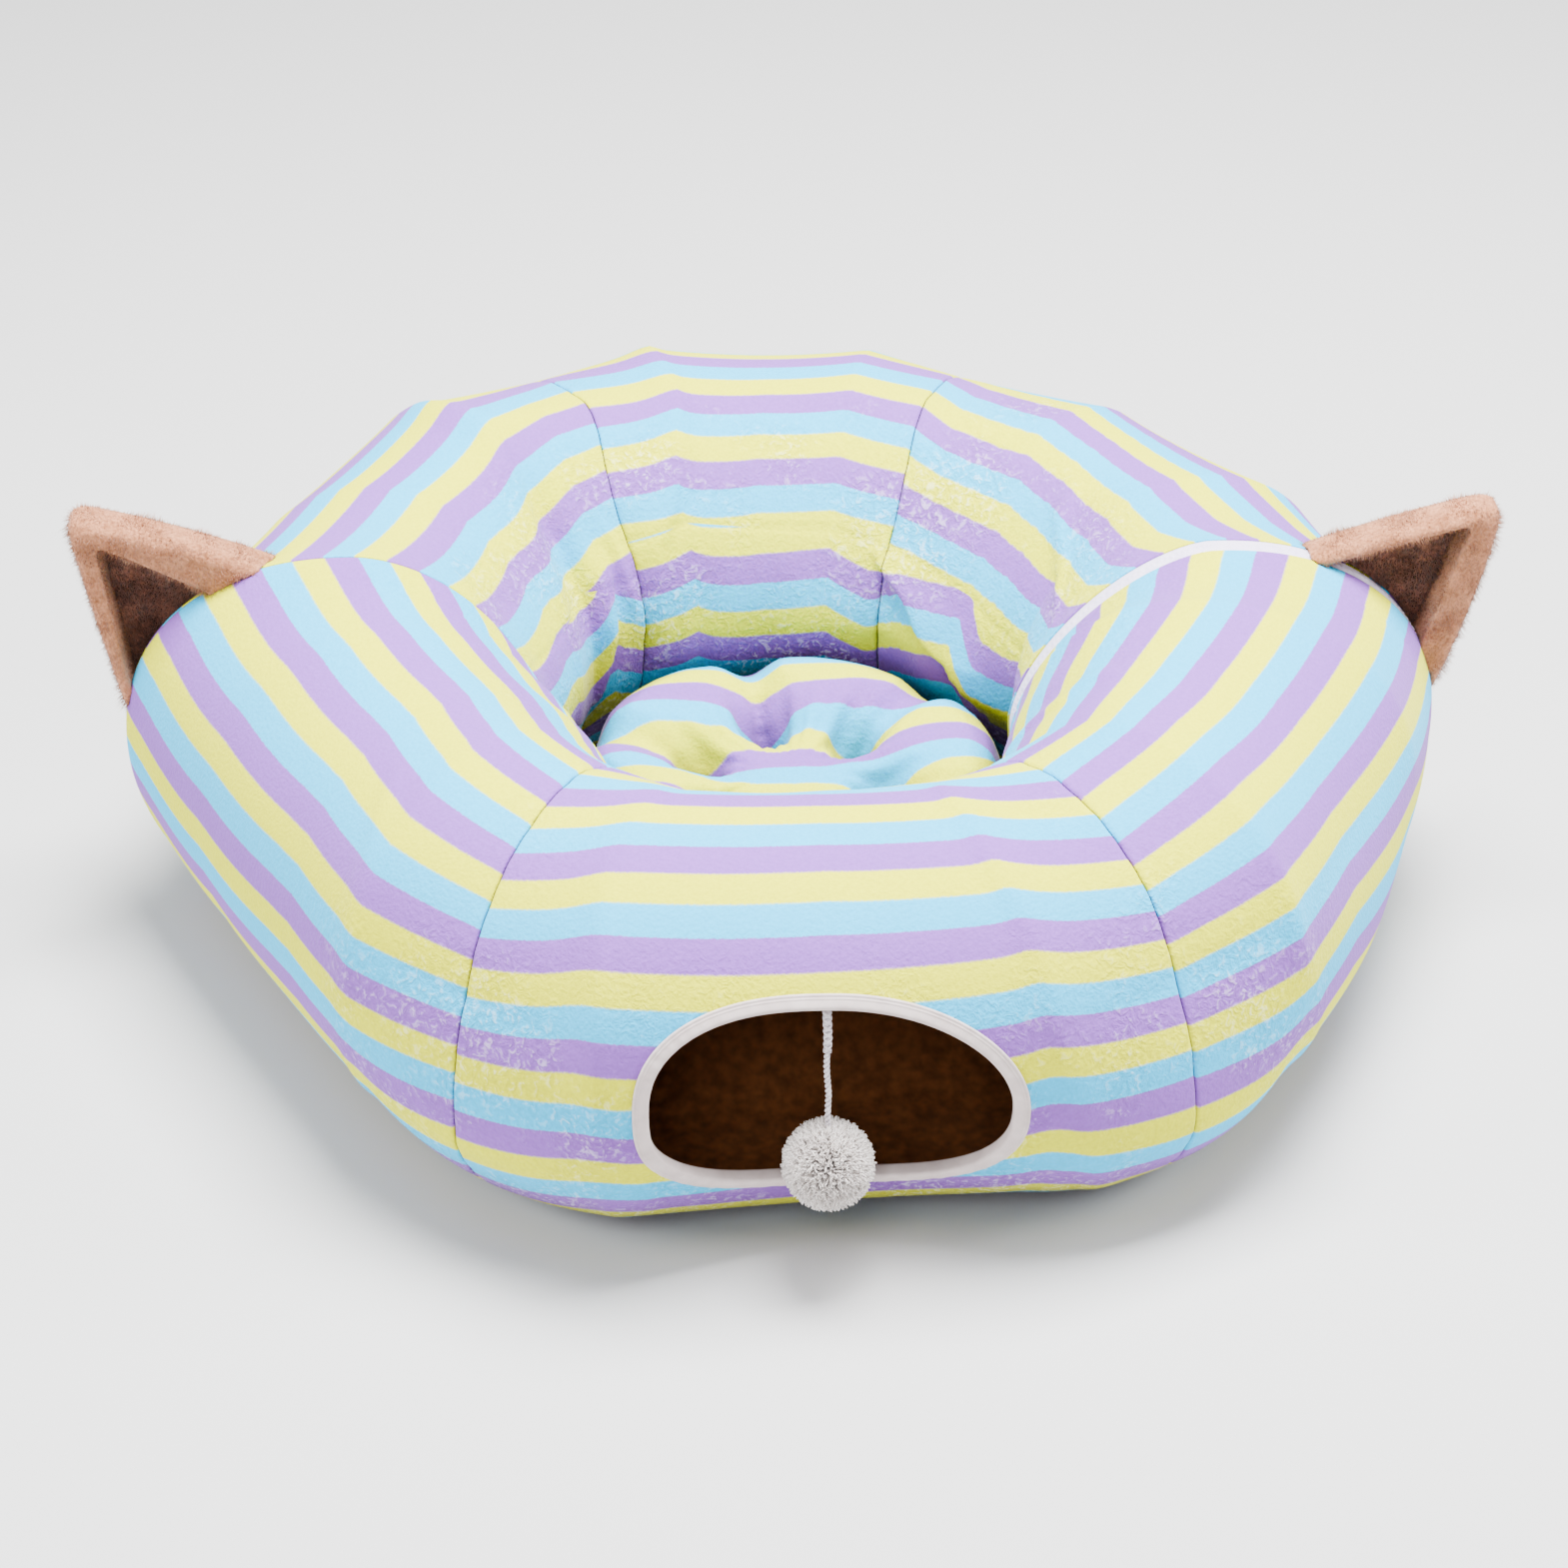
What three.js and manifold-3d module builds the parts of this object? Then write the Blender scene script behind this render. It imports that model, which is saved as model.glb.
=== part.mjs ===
// Cat tunnel: two half rings of striped plush tunnel joined into one ring, with a bound cat hole
// and a pompom in front, two ears at the joints and a tufted cushion in the middle.
// Millimetres, +Z up. The origin is on the floor at the ring's centre, and the cat hole faces -Y.
// "turn" is the angle round the ring in degrees, 0 at the cat hole and growing towards +X.
// "around" is the angle round the tunnel in degrees, 0 outermost, 90 on top, 180 innermost.

import * as THREE from 'three';
import { mergeVertices } from 'three/addons/utils/BufferGeometryUtils.js';
import Module from 'manifold-3d';

const wasm = await Module();
wasm.setup();

// Cloth and gaps
const GAP = 0.3;                 // between pieces that meet
const PLUSH = 3;                 // striped plush with its backing
const LINING = 1;
const SQUARENESS = 2.15;         // of a hoop's outline: 2 is an ellipse, more is squarer
const FLOOR_PRESS = 5;           // how much of the tunnel's roundness the floor takes away
const TOP_SAG = 5;               // of the cloth between two hoops, on top
const SEAM_TUCK = 7;             // how deep the cloth folds in at a seam, on the side of the cushion
const SLUMP = 9;                 // how far the cut cloth under the cat hole falls inwards
const SLUMP_SPREAD = 19;         // how far that reaches to each side, in degrees of turn
const AROUND_STEPS = 28;
const TURN_STEP = 11;            // widest step round the ring, in degrees

// The wires that hold the tunnel open, and the two soft folds beside the joints. On the cushion's
// side the cloth hangs slack: "inner" is the half width on that side, "shoulder" how square its upper
// quarter is, and "lean" how many degrees of turn it has drifted there. "bulge" is that of the slack
// cloth low on the outside, between the hoop and the next one.
const HOOP_COLUMNS = ['name', 'turn', 'reach', 'halfWidth', 'halfHeight', 'inner', 'shoulder', 'lean', 'bulge'];
const HOOPS = [
  ['back left inner', -166.5, 414, 135, 132, 132, 2.20, 7.5, 12],
  ['back left middle', -136, 414, 134, 136, 106, 1.60, 4, 10],
  ['back left outer', -115, 403, 133, 131, 118, 1.80, 1, 6],
  ['left end', -92, 435, 153, 138, 121, 1.89, 0, 3],
  ['left fold', -76, 393, 132, 133, 130, 1.65, 0, 3],
  ['front left outer', -44, 403, 132, 134, 126, 1.55, 0, 18],
  ['front left inner', -19, 421, 127, 130, 111, 2.15, 0, -3],
  ['front right inner', 19, 409, 128, 125, 117, 2.10, 0, 26],
  ['front right outer', 43, 422, 134, 134, 124, 1.70, 0, 12],
  ['right fold', 76, 408, 135, 134, 129, 2.10, 0, 3],
  ['right end', 91, 428, 154, 132, 128, 1.57, 0, 6],
  ['back right outer', 113, 415, 138, 128, 112, 1.80, -2, 8],
  ['back right middle', 136, 406, 133, 128, 122, 1.60, -6, 12],
  ['back right inner', 167, 409, 135, 130, 130, 1.80, 0, 10],
].map((row) => Object.fromEntries(HOOP_COLUMNS.map((column, i) => [column, row[i]])));
const LEFT_END = -92;
const RIGHT_END = 91;
const SEAM = { frontLeft: -32, frontRight: 31, backRight: 155.5, backLeft: 208.5 };

// Zip between the halves on the right, and the hem tucked under the front half on the left
const ZIP_WIDTH = 13;
const ZIP_DEPTH = 1.2;           // below the plush's face
const ZIP_THICK = 1.4;
const ZIP_RIDGE = 0.6;           // how far the closed teeth stand up from the tape
const HEM_TUCK = 2;

// The panels beside the front one, from turn to turn
const PANELS = {
  front_left_panel: { start: LEFT_END, end: SEAM.frontLeft, startSlide: 0 },
  front_right_panel: { start: SEAM.frontRight, end: RIGHT_END, endSlide: 0 },
  back_right_panel: { start: RIGHT_END, end: SEAM.backRight, startSlide: ZIP_WIDTH + 2 * GAP },
  back_panel: { start: SEAM.backRight, end: SEAM.backLeft },
  back_left_panel: { start: SEAM.backLeft, end: LEFT_END + 360, endSlide: -GAP, tuck: HEM_TUCK },
};

// Cat hole, as seen from the front
const HOLE = { x: 0.5, z: 121.7, halfWidth: 105.8, halfHeight: 64.6, rise: -0.058 };
// How square each quarter of the cat hole is, going round from the upper right one
const HOLE_QUARTERS = [
  { place: 'upper right', squareness: 2.15 },
  { place: 'upper left', squareness: 2.6 },
  { place: 'lower left', squareness: 2.6 },
  { place: 'lower right', squareness: 2.3 },
];
const HOLE_STEPS = 44;
const CUT_SETBACK = 1.9;         // from the binding's inner edge to the cloth's cut edge

// Binding: its section across the cut edge; out is away from the hole, up is off the plush
const BINDING_SECTION = [
  { out: 8.0, up: 0.3 },
  { out: 8.0, up: 1.2 },
  { out: 6.0, up: 2.0 },
  { out: 0.0, up: 2.0 },
  { out: -1.9, up: 0.6 },
  { out: -1.9, up: -5.2 },
  { out: -1.0, up: -6.4 },
  { out: 6.5, up: -6.4 },
  { out: 6.5, up: -4.6 },
  { out: -0.4, up: -4.6 },
  { out: -0.4, up: 0.3 },
];

// Ears and their hollows, looking along the joint: reach and rise of the tip, where the base starts
// and ends round the tunnel, the outward bows of the lower and upper sides, and how far the tip is
// rounded off
const EAR_COLUMNS = ['side', 'turn', 'tipReach', 'tipRise', 'low', 'high', 'lowBow', 'highBow', 'tipRound'];
const asEar = (row) => Object.fromEntries(EAR_COLUMNS.map((column, i) => [column, row[i]]));
const EARS = [
  ['left', LEFT_END, 460, 303, 0, 75, 3, 6, 16],
  ['right', RIGHT_END, 463, 285, 0, 72, 9, 4, 16],
].map(asEar);
const EAR_HOLLOWS = [
  ['left', LEFT_END, 441, 282, 10.8, 56.5, 2, 2, 7],
  ['right', RIGHT_END, 442, 271, 20.7, 66.7, 2, 2, 7],
].map(asEar);
const EAR_ROOT = 8;              // how deep inside the tunnel the outline starts, before the cut
const EAR_CURVE_STEPS = 4;
// The plush ear from front to back, measured behind the joint, drawn in by a share of its size
const EAR_LAYERS = [
  { at: -6, shrink: 0.10 },
  { at: -3, shrink: 0.03 },
  { at: 2, shrink: 0.0 },
  { at: 17, shrink: 0.0 },
  { at: 24, shrink: 0.05 },
  { at: 28, shrink: 0.15 },
];
const HOLLOW_LAYERS = [
  { at: -20, shrink: -0.02 },
  { at: 2, shrink: 0.0 },
  { at: 18, shrink: 0.05 },
];
const EAR_LINING = [
  { at: 14.7, shrink: 0.075 },
  { at: 17.7, shrink: 0.075 },
];
const EAR_SEAT = 0.4;            // between the ear's base and the tunnel

// Centre cushion: profile from the middle out, as shares of its edge radius and its height
const CUSHION = { radius: 148, clear: 0.1, height: 121, lobes: 6, creaseTurn: 42, creaseDip: 8 };
const CUSHION_PROFILE = [
  { out: 0.15, up: 0.84 },
  { out: 0.30, up: 0.88 },
  { out: 0.37, up: 0.90 },
  { out: 0.44, up: 0.93 },
  { out: 0.51, up: 0.95 },
  { out: 0.58, up: 0.97 },
  { out: 0.72, up: 1.00 },
  { out: 0.85, up: 0.99 },
  { out: 0.95, up: 0.92 },
  { out: 1.00, up: 0.76 },
  { out: 1.00, up: 0.40 },
  { out: 0.97, up: 0.12 },
  { out: 0.89, up: 0.00 },
];
const CUSHION_STEPS = 36;
const TUFT = { ring: 62, depth: 40, spread: 16 };
const CREASE = { depth: 17, spread: 11, start: 40 };

// Cord and pompom that hang from the top of the binding
const CORD_RADIUS = 1.9;
const CORD_SIDES = 8;
const POMPOM = { radius: 28, core: 20, detail: 2, x: -1.5, y: -390, z: 85 };
// Route of the cord's middle, from the binding down to the pompom
const CORD_ROUTE = [
  [-1.7, -375.2, 184.5],
  [-1.6, -376.1, 178.8],
  [-1.4, -377.0, 173.0],
  [-1.3, -377.9, 167.4],
  [-1.5, -378.8, 161.8],
  [-1.9, -379.6, 156.2],
  [-2.2, -380.4, 150.6],
  [-2.1, -381.3, 144.9],
  [-1.7, -382.0, 139.7],
  [-1.3, -382.8, 134.5],
  [-1.2, -383.5, 129.2],
  [-1.5, -384.3, 124.0],
  [-1.7, -385.1, 118.8],
  [-1.7, -385.9, 113.5],
  [-1.7, -386.7, 108.3],
];

const MATERIALS = {
  plush: { color: 0xc5d3df, roughness: 0.95 },
  lining: { color: 0x4a2a18, roughness: 0.6 },
  binding: { color: 0xd9cfcd, roughness: 0.8 },
  zip: { color: 0xe6dff5, roughness: 0.5 },
  earOuter: { color: 0xc89a7c, roughness: 0.95 },
  earInner: { color: 0x6b4a42, roughness: 0.95 },
  cord: { color: 0xd8d0dc, roughness: 0.8 },
  pompom: { color: 0xd6cfcb, roughness: 0.95 },
};

const rad = THREE.MathUtils.degToRad;
const lerp = THREE.MathUtils.lerp;
const clamp = THREE.MathUtils.clamp;

/** Signed power: keeps the sign of a sine or cosine while it bends an ellipse squarer. */
function squared(value, squareness) {
  return Math.sign(value) * Math.abs(value) ** (2 / squareness);
}

/** Reach and height of a hoop's outline at "around", "depth" under the plush's face. */
function hoopPoint(hoop, around, depth) {
  const cosine = Math.cos(rad(around));
  const sine = Math.sin(rad(around));
  const squareness = cosine < 0 && sine > 0 ? hoop.shoulder : SQUARENESS;
  const outward = squared(cosine, squareness);
  const upward = squared(sine, squareness);
  const middle = hoop.reach - hoop.halfWidth;
  const halfWidth = cosine < 0 ? hoop.inner : hoop.halfWidth;
  const height = hoop.halfHeight - FLOOR_PRESS + (hoop.halfHeight - depth) * upward;
  return {
    reach: middle + (halfWidth - depth) * outward,
    height: Math.max(height, depth),
  };
}

/** How slack the cloth is: 1 low on the outside, 0 on top and towards the middle. */
function slackness(around) {
  const angle = ((around + 180) % 360 + 360) % 360 - 180;
  return clamp((20 - angle) / 40, 0, 1) * clamp((angle + 140) / 40, 0, 1);
}

/** How far the cloth under the cat hole falls inwards, at a turn and an angle round the tunnel. */
function slump(turn, around) {
  const side = Math.abs((turn + 180) % 360 - 180) / SLUMP_SPREAD;
  if (side > 1) return 0;
  const angle = ((around + 180) % 360 + 360) % 360 - 180;
  const rise = THREE.MathUtils.smoothstep(angle, -54, -32);
  const fall = 1 - THREE.MathUtils.smoothstep(angle, -22, 12);
  return SLUMP * Math.cos(side * Math.PI / 2) ** 2 * rise * fall;
}

/** 1 on the cushion's side, where the slack cloth drifts, and 0 from the crown to the outside. */
function hanging(around) {
  const angle = ((around % 360) + 360) % 360;
  const start = THREE.MathUtils.smoothstep(angle, 90, 140);
  return start * (1 - THREE.MathUtils.smoothstep(angle, 220, 270));
}

/** The two hoops that a turn lies between, and how far it is past the first one. */
function hoopsBeside(turn) {
  const whole = ((turn - HOOPS[0].turn) % 360 + 360) % 360 + HOOPS[0].turn;
  const next = HOOPS.findIndex((hoop) => hoop.turn > whole);
  const second = next < 0 ? 0 : next;
  const first = (second + HOOPS.length - 1) % HOOPS.length;
  const span = (HOOPS[second].turn - HOOPS[first].turn + 360) % 360;
  return { first: HOOPS[first], second: HOOPS[second], span, past: whole - HOOPS[first].turn };
}

/** A point of the tunnel's cloth: taut between the hoops on top, slack low on the outside. */
function ringPoint(turn, around, depth) {
  const { first, second, span, past } = hoopsBeside(turn);
  const from = hoopPoint(first, around, depth);
  const to = hoopPoint(second, around, depth);
  const share = past / span;
  const swell = 4 * share * (1 - share);
  const taut = from.reach * to.reach * Math.sin(rad(span))
    / (from.reach * Math.sin(rad(past)) + to.reach * Math.sin(rad(span - past)));
  const reach = taut + first.bulge * swell * slackness(around) - slump(turn, around);
  const sag = TOP_SAG * swell * Math.max(0, Math.sin(rad(around)));
  const height = lerp(from.height, to.height, share) - sag;
  const angle = rad(turn + lerp(first.lean, second.lean, share) * hanging(around));
  return new THREE.Vector3(reach * Math.sin(angle), -reach * Math.cos(angle), height);
}

/** Unit vector along the ring, towards growing turn. */
function alongRing(turn) {
  return new THREE.Vector3(Math.cos(rad(turn)), Math.sin(rad(turn)), 0);
}

/** Turns from start to end that stop at each hoop, with no step over TURN_STEP. */
function turnStops(start, end) {
  const inside = [];
  for (const lap of [0, 360]) {
    for (const hoop of HOOPS) {
      const turn = hoop.turn + lap;
      if (turn > start + 1 && turn < end - 1) inside.push(turn);
    }
  }
  const marks = [start, ...inside, end];
  const stops = [start];
  for (let i = 1; i < marks.length; i += 1) {
    const steps = Math.ceil((marks[i] - marks[i - 1]) / TURN_STEP);
    for (let j = 1; j <= steps; j += 1) stops.push(lerp(marks[i - 1], marks[i], j / steps));
  }
  return stops;
}

/** A closed section round the tunnel, with an optional slide along the ring. */
function ringSection(turn, depth, slide = 0) {
  const shift = alongRing(turn).multiplyScalar(slide);
  const tuck = Object.values(SEAM).includes(turn) ? SEAM_TUCK : 0;
  const points = [];
  for (let i = 0; i < AROUND_STEPS; i += 1) {
    const around = (i * 360) / AROUND_STEPS;
    const inward = Math.max(0, -Math.cos(rad(around))) ** 2;
    points.push(ringPoint(turn, around, depth + tuck * inward).add(shift));
  }
  return points;
}

/** Geometry of points and triangles, given as vectors and index triples. */
function solidGeometry(points, triangles) {
  const geometry = new THREE.BufferGeometry();
  geometry.setAttribute('position', new THREE.Float32BufferAttribute(
    points.flatMap((point) => [point.x, point.y, point.z]), 3));
  geometry.setIndex(triangles.flat());
  return geometry;
}

/** Triangles of a grid of closed rings that follow each other, facing outwards. */
function ringGrid(count, size, closed) {
  const triangles = [];
  const last = closed ? count : count - 1;
  for (let k = 0; k < last; k += 1) {
    for (let i = 0; i < size; i += 1) {
      const a = k * size + i;
      const b = ((k + 1) % count) * size + i;
      const c = ((k + 1) % count) * size + ((i + 1) % size);
      const d = k * size + ((i + 1) % size);
      triangles.push([a, b, c], [a, c, d]);
    }
  }
  return triangles;
}

/** A sheet wrapped round the tunnel: outer sections, inner sections and its two end faces. */
function wrappedSheet(outerSections, innerSections) {
  const count = outerSections.length;
  const size = AROUND_STEPS;
  const base = count * size;
  const outside = ringGrid(count, size, false);
  const inside = outside.map(([a, b, c]) => [base + a, base + c, base + b]);
  const ends = [];
  for (let i = 0; i < size; i += 1) {
    const next = (i + 1) % size;
    const far = (count - 1) * size;
    ends.push([i, next, base + next], [i, base + next, base + i]);
    ends.push([far + i, base + far + next, far + next], [far + i, base + far + i, base + far + next]);
  }
  const points = [...outerSections.flat(), ...innerSections.flat()];
  return solidGeometry(points, [...outside, ...inside, ...ends]);
}

/** Sections of one panel at a depth; slides move its ends clear of its neighbours. */
function panelSections({ start, end, startSlide = GAP / 2, endSlide = -GAP / 2, tuck = 0 }, depth) {
  const stops = turnStops(start, end);
  const last = stops.length - 1;
  return stops.map((turn, k) => {
    if (k === 0) return ringSection(turn, depth, startSlide);
    if (k === last) return ringSection(turn, depth + tuck, endSlide);
    return ringSection(turn, depth);
  });
}

/** One panel of the tunnel's plush between two turns. */
function panelGeometry(panel) {
  return wrappedSheet(panelSections(panel, 0), panelSections(panel, PLUSH));
}

/** A layer inside the front half, from one depth to another. */
function frontLayer(outerDepth, innerDepth) {
  const stops = [
    ...turnStops(LEFT_END, SEAM.frontLeft),
    ...turnStops(SEAM.frontLeft, SEAM.frontRight).slice(1),
    ...turnStops(SEAM.frontRight, RIGHT_END).slice(1),
  ];
  const layer = (depth) => stops.map((turn) => ringSection(turn, depth));
  return wrappedSheet(layer(outerDepth), layer(innerDepth));
}

/** A closed three.js geometry as a solid that can be cut. */
function toSolid(geometry) {
  const bare = geometry.clone();
  bare.deleteAttribute('normal');
  bare.deleteAttribute('uv');
  const merged = mergeVertices(bare, 1e-4);
  return new wasm.Manifold(new wasm.Mesh({
    numProp: 3,
    vertProperties: Float32Array.from(merged.attributes.position.array),
    triVerts: Uint32Array.from(merged.index.array),
  }));
}

/** A cut solid back as a three.js geometry. */
function fromSolid(solid) {
  const mesh = solid.getMesh();
  const geometry = new THREE.BufferGeometry();
  geometry.setAttribute('position', new THREE.BufferAttribute(Float32Array.from(mesh.vertProperties), 3));
  geometry.setIndex(new THREE.BufferAttribute(Uint32Array.from(mesh.triVerts), 1));
  return geometry;
}

/** A point of the cat hole's outline, as x and z, "grow" outside the binding's inner edge. */
function holePoint(share, grow) {
  const turned = (share + 1) % 1;
  const angle = turned * 2 * Math.PI;
  const { squareness } = HOLE_QUARTERS[Math.floor(turned * 4)];
  const x = (HOLE.halfWidth + grow) * squared(Math.cos(angle), squareness);
  const z = (HOLE.halfHeight + grow) * squared(Math.sin(angle), squareness);
  return new THREE.Vector2(HOLE.x + x, HOLE.z + z + HOLE.rise * x);
}

/** The prism that cuts the cat hole through the front wall. */
function holeCutter(grow) {
  const outline = [];
  for (let i = 0; i < HOLE_STEPS; i += 1) outline.push(holePoint(i / HOLE_STEPS, grow));
  const prism = new THREE.ExtrudeGeometry(new THREE.Shape(outline), { depth: 190, bevelEnabled: false });
  prism.rotateX(Math.PI / 2);
  prism.translate(0, -270, 0);
  return toSolid(prism);
}

/** Binding of the cat hole: its section carried round the cut edge, clear of the cloth. */
function bindingGeometry(plushFace, clothSolid) {
  const probe = new THREE.Raycaster();
  const onPlush = (flat) => {
    probe.set(new THREE.Vector3(flat.x, -700, flat.y), new THREE.Vector3(0, 1, 0));
    return probe.intersectObject(plushFace)[0].point;
  };
  const sections = [];
  for (let i = 0; i < HOLE_STEPS; i += 1) {
    const share = i / HOLE_STEPS;
    const edge = onPlush(holePoint(share, CUT_SETBACK));
    const outer = onPlush(holePoint(share, CUT_SETBACK + 8));
    const ahead = onPlush(holePoint(share + 0.004, CUT_SETBACK));
    const behind = onPlush(holePoint(share - 0.004, CUT_SETBACK));
    const away = outer.clone().sub(edge).normalize();
    const along = ahead.clone().sub(behind).normalize();
    const off = new THREE.Vector3().crossVectors(away, along).normalize();
    sections.push(BINDING_SECTION.map(({ out, up }) => edge.clone()
      .addScaledVector(away, out).addScaledVector(off, up)));
  }
  const triangles = ringGrid(HOLE_STEPS, BINDING_SECTION.length, true);
  return fromSolid(toSolid(solidGeometry(sections.flat(), triangles)).subtract(clothSolid));
}

/** Zip band: a ring of tape between the halves, with the closed teeth as a low ridge. */
function zipGeometry() {
  const rows = [
    { slide: GAP, depth: ZIP_DEPTH },
    { slide: GAP + ZIP_WIDTH / 2, depth: ZIP_DEPTH - ZIP_RIDGE },
    { slide: GAP + ZIP_WIDTH, depth: ZIP_DEPTH },
  ];
  const face = rows.map(({ slide, depth }) => ringSection(RIGHT_END, depth, slide));
  const back = rows.map(({ slide }) => ringSection(RIGHT_END, ZIP_DEPTH + ZIP_THICK, slide));
  return wrappedSheet(face, back);
}

/** A closed solid through sections that follow each other, with a flat cap at each end. */
function cappedSolid(sections, reversed) {
  const size = sections[0].length;
  const triangles = ringGrid(sections.length, size, false);
  const first = sections.length * size;
  const far = (sections.length - 1) * size;
  const middle = (section) => section.reduce((sum, point) => sum.add(point), new THREE.Vector3())
    .divideScalar(size);
  for (let i = 0; i < size; i += 1) {
    const next = (i + 1) % size;
    triangles.push([first, i, next], [first + 1, far + next, far + i]);
  }
  const points = [...sections.flat(), middle(sections[0]), middle(sections[sections.length - 1])];
  const facing = reversed ? triangles.map(([a, b, c]) => [a, c, b]) : triangles;
  return toSolid(solidGeometry(points, facing));
}

/** The ear's outline as reach and rise, drawn in towards its middle by a share of its size. */
function earOutline({ turn, tipReach, tipRise, low, high, lowBow, highBow, tipRound }, shrink) {
  const hoop = HOOPS.find((entry) => entry.turn === turn);
  const root = (around) => {
    const { reach, height } = hoopPoint(hoop, around, EAR_ROOT);
    return new THREE.Vector2(reach, height);
  };
  const tip = new THREE.Vector2(tipReach, tipRise);
  const lowRoot = root(low);
  const highRoot = root(high);
  const bow = (from, to, share, amount) => {
    const across = to.clone().sub(from).rotateAround(new THREE.Vector2(), -Math.PI / 2);
    return from.clone().lerp(to, share).add(across.setLength(amount));
  };
  const round = (root) => tip.clone().add(root.clone().sub(tip).setLength(tipRound));
  const lowSide = bow(lowRoot, tip, 0.5, lowBow);
  const highSide = bow(tip, highRoot, 0.5, highBow);
  const outline = new THREE.Path().moveTo(lowRoot.x, lowRoot.y);
  outline.quadraticCurveTo(lowSide.x, lowSide.y, round(lowSide).x, round(lowSide).y);
  outline.quadraticCurveTo(tip.x, tip.y, round(highSide).x, round(highSide).y);
  outline.quadraticCurveTo(highSide.x, highSide.y, highRoot.x, highRoot.y);
  const middle = lowRoot.clone().add(highRoot).add(tip).divideScalar(3);
  return outline.getPoints(EAR_CURVE_STEPS).map((point) => point.lerp(middle, shrink));
}

/** A solid through the ear's outline at each layer, measured backwards from the joint. */
function earSolid(ear, layers) {
  const outward = new THREE.Vector3(Math.sin(rad(ear.turn)), -Math.cos(rad(ear.turn)), 0);
  const upward = new THREE.Vector3(0, 0, 1);
  const sections = layers.map(({ at, shrink }) => earOutline(ear, shrink).map((point) => (
    outward.clone().multiplyScalar(point.x).addScaledVector(upward, point.y)
      .addScaledVector(new THREE.Vector3(0, 1, 0), at))));
  return cappedSolid(sections, ear.side === 'left');
}

/** Two neighbouring panels filled solid and grown a little, to seat an ear on. */
function filledPanels(panels) {
  const sections = panels.flatMap((panel) => panelSections({ ...panel, tuck: 0 }, -EAR_SEAT));
  return cappedSolid(sections, false);
}

/** Height that tufts and creases take out of the cushion's top at a point of it. */
function cushionDip(x, y) {
  const turn = THREE.MathUtils.radToDeg(Math.atan2(y, x));
  const distance = Math.hypot(x, y);
  const pitch = 360 / CUSHION.lobes;
  const nearest = Math.round((turn - CUSHION.creaseTurn) / pitch) * pitch + CUSHION.creaseTurn;
  const tuftX = TUFT.ring * Math.cos(rad(nearest));
  const tuftY = TUFT.ring * Math.sin(rad(nearest));
  const toTuft = Math.hypot(x - tuftX, y - tuftY);
  const toCrease = Math.abs(distance * Math.sin(rad(turn - nearest)));
  const onset = clamp((distance - CREASE.start) / 20, 0, 1);
  return TUFT.depth * Math.exp(-((toTuft / TUFT.spread) ** 2))
    + CREASE.depth * onset * Math.exp(-((toCrease / CREASE.spread) ** 2));
}

/** Least distance from the ring's middle to its wall round a direction from +X, at a height. */
function wallDistance(direction, height) {
  let nearest = Infinity;
  for (let turn = direction + 74; turn <= direction + 106; turn += 2) {
    for (let around = 110; around <= 250; around += 4) {
      const wall = ringPoint(turn, around, 0);
      const aside = Math.atan2(wall.y, wall.x) - rad(direction);
      if (Math.cos(aside) < Math.cos(rad(6)) || Math.abs(wall.z - height) > 8) continue;
      nearest = Math.min(nearest, Math.hypot(wall.x, wall.y));
    }
  }
  return nearest;
}

/** Centre cushion: a filled, tufted round with lobes between its creases, just clear of the wall. */
function cushionGeometry() {
  const points = [];
  for (const { out, up } of CUSHION_PROFILE) {
    for (let i = 0; i < CUSHION_STEPS; i += 1) {
      const turn = (i * 360) / CUSHION_STEPS;
      const wave = Math.abs(Math.sin(rad((turn - CUSHION.creaseTurn) * CUSHION.lobes / 2)));
      const room = wallDistance(turn, CUSHION.height * Math.max(up, 0.5)) - CUSHION.clear;
      const edge = Math.min(CUSHION.radius, room) - CUSHION.creaseDip * (1 - Math.sqrt(wave)) * out;
      const x = edge * out * Math.cos(rad(turn));
      const y = edge * out * Math.sin(rad(turn));
      const dip = cushionDip(x, y) * clamp(up * 2 - 0.9, 0, 1);
      points.push(new THREE.Vector3(x, y, CUSHION.height * up - dip));
    }
  }
  const triangles = ringGrid(CUSHION_PROFILE.length, CUSHION_STEPS, false);
  const top = points.length;
  points.push(new THREE.Vector3(0, 0, CUSHION.height * 0.82), new THREE.Vector3(0, 0, 0));
  const far = (CUSHION_PROFILE.length - 1) * CUSHION_STEPS;
  for (let i = 0; i < CUSHION_STEPS; i += 1) {
    const next = (i + 1) % CUSHION_STEPS;
    triangles.push([top, i, next], [top + 1, far + next, far + i]);
  }
  return solidGeometry(points, triangles);
}

/** Cord: a plain round tube along its route. */
function cordGeometry() {
  const section = new THREE.Shape();
  for (let i = 0; i < CORD_SIDES; i += 1) {
    const angle = (i * 2 * Math.PI) / CORD_SIDES;
    const x = CORD_RADIUS * Math.cos(angle);
    const y = CORD_RADIUS * Math.sin(angle);
    if (i === 0) section.moveTo(x, y);
    else section.lineTo(x, y);
  }
  const route = new THREE.CatmullRomCurve3(CORD_ROUTE.map((point) => new THREE.Vector3(...point)));
  return new THREE.ExtrudeGeometry(section, { steps: 12, extrudePath: route });
}

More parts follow.
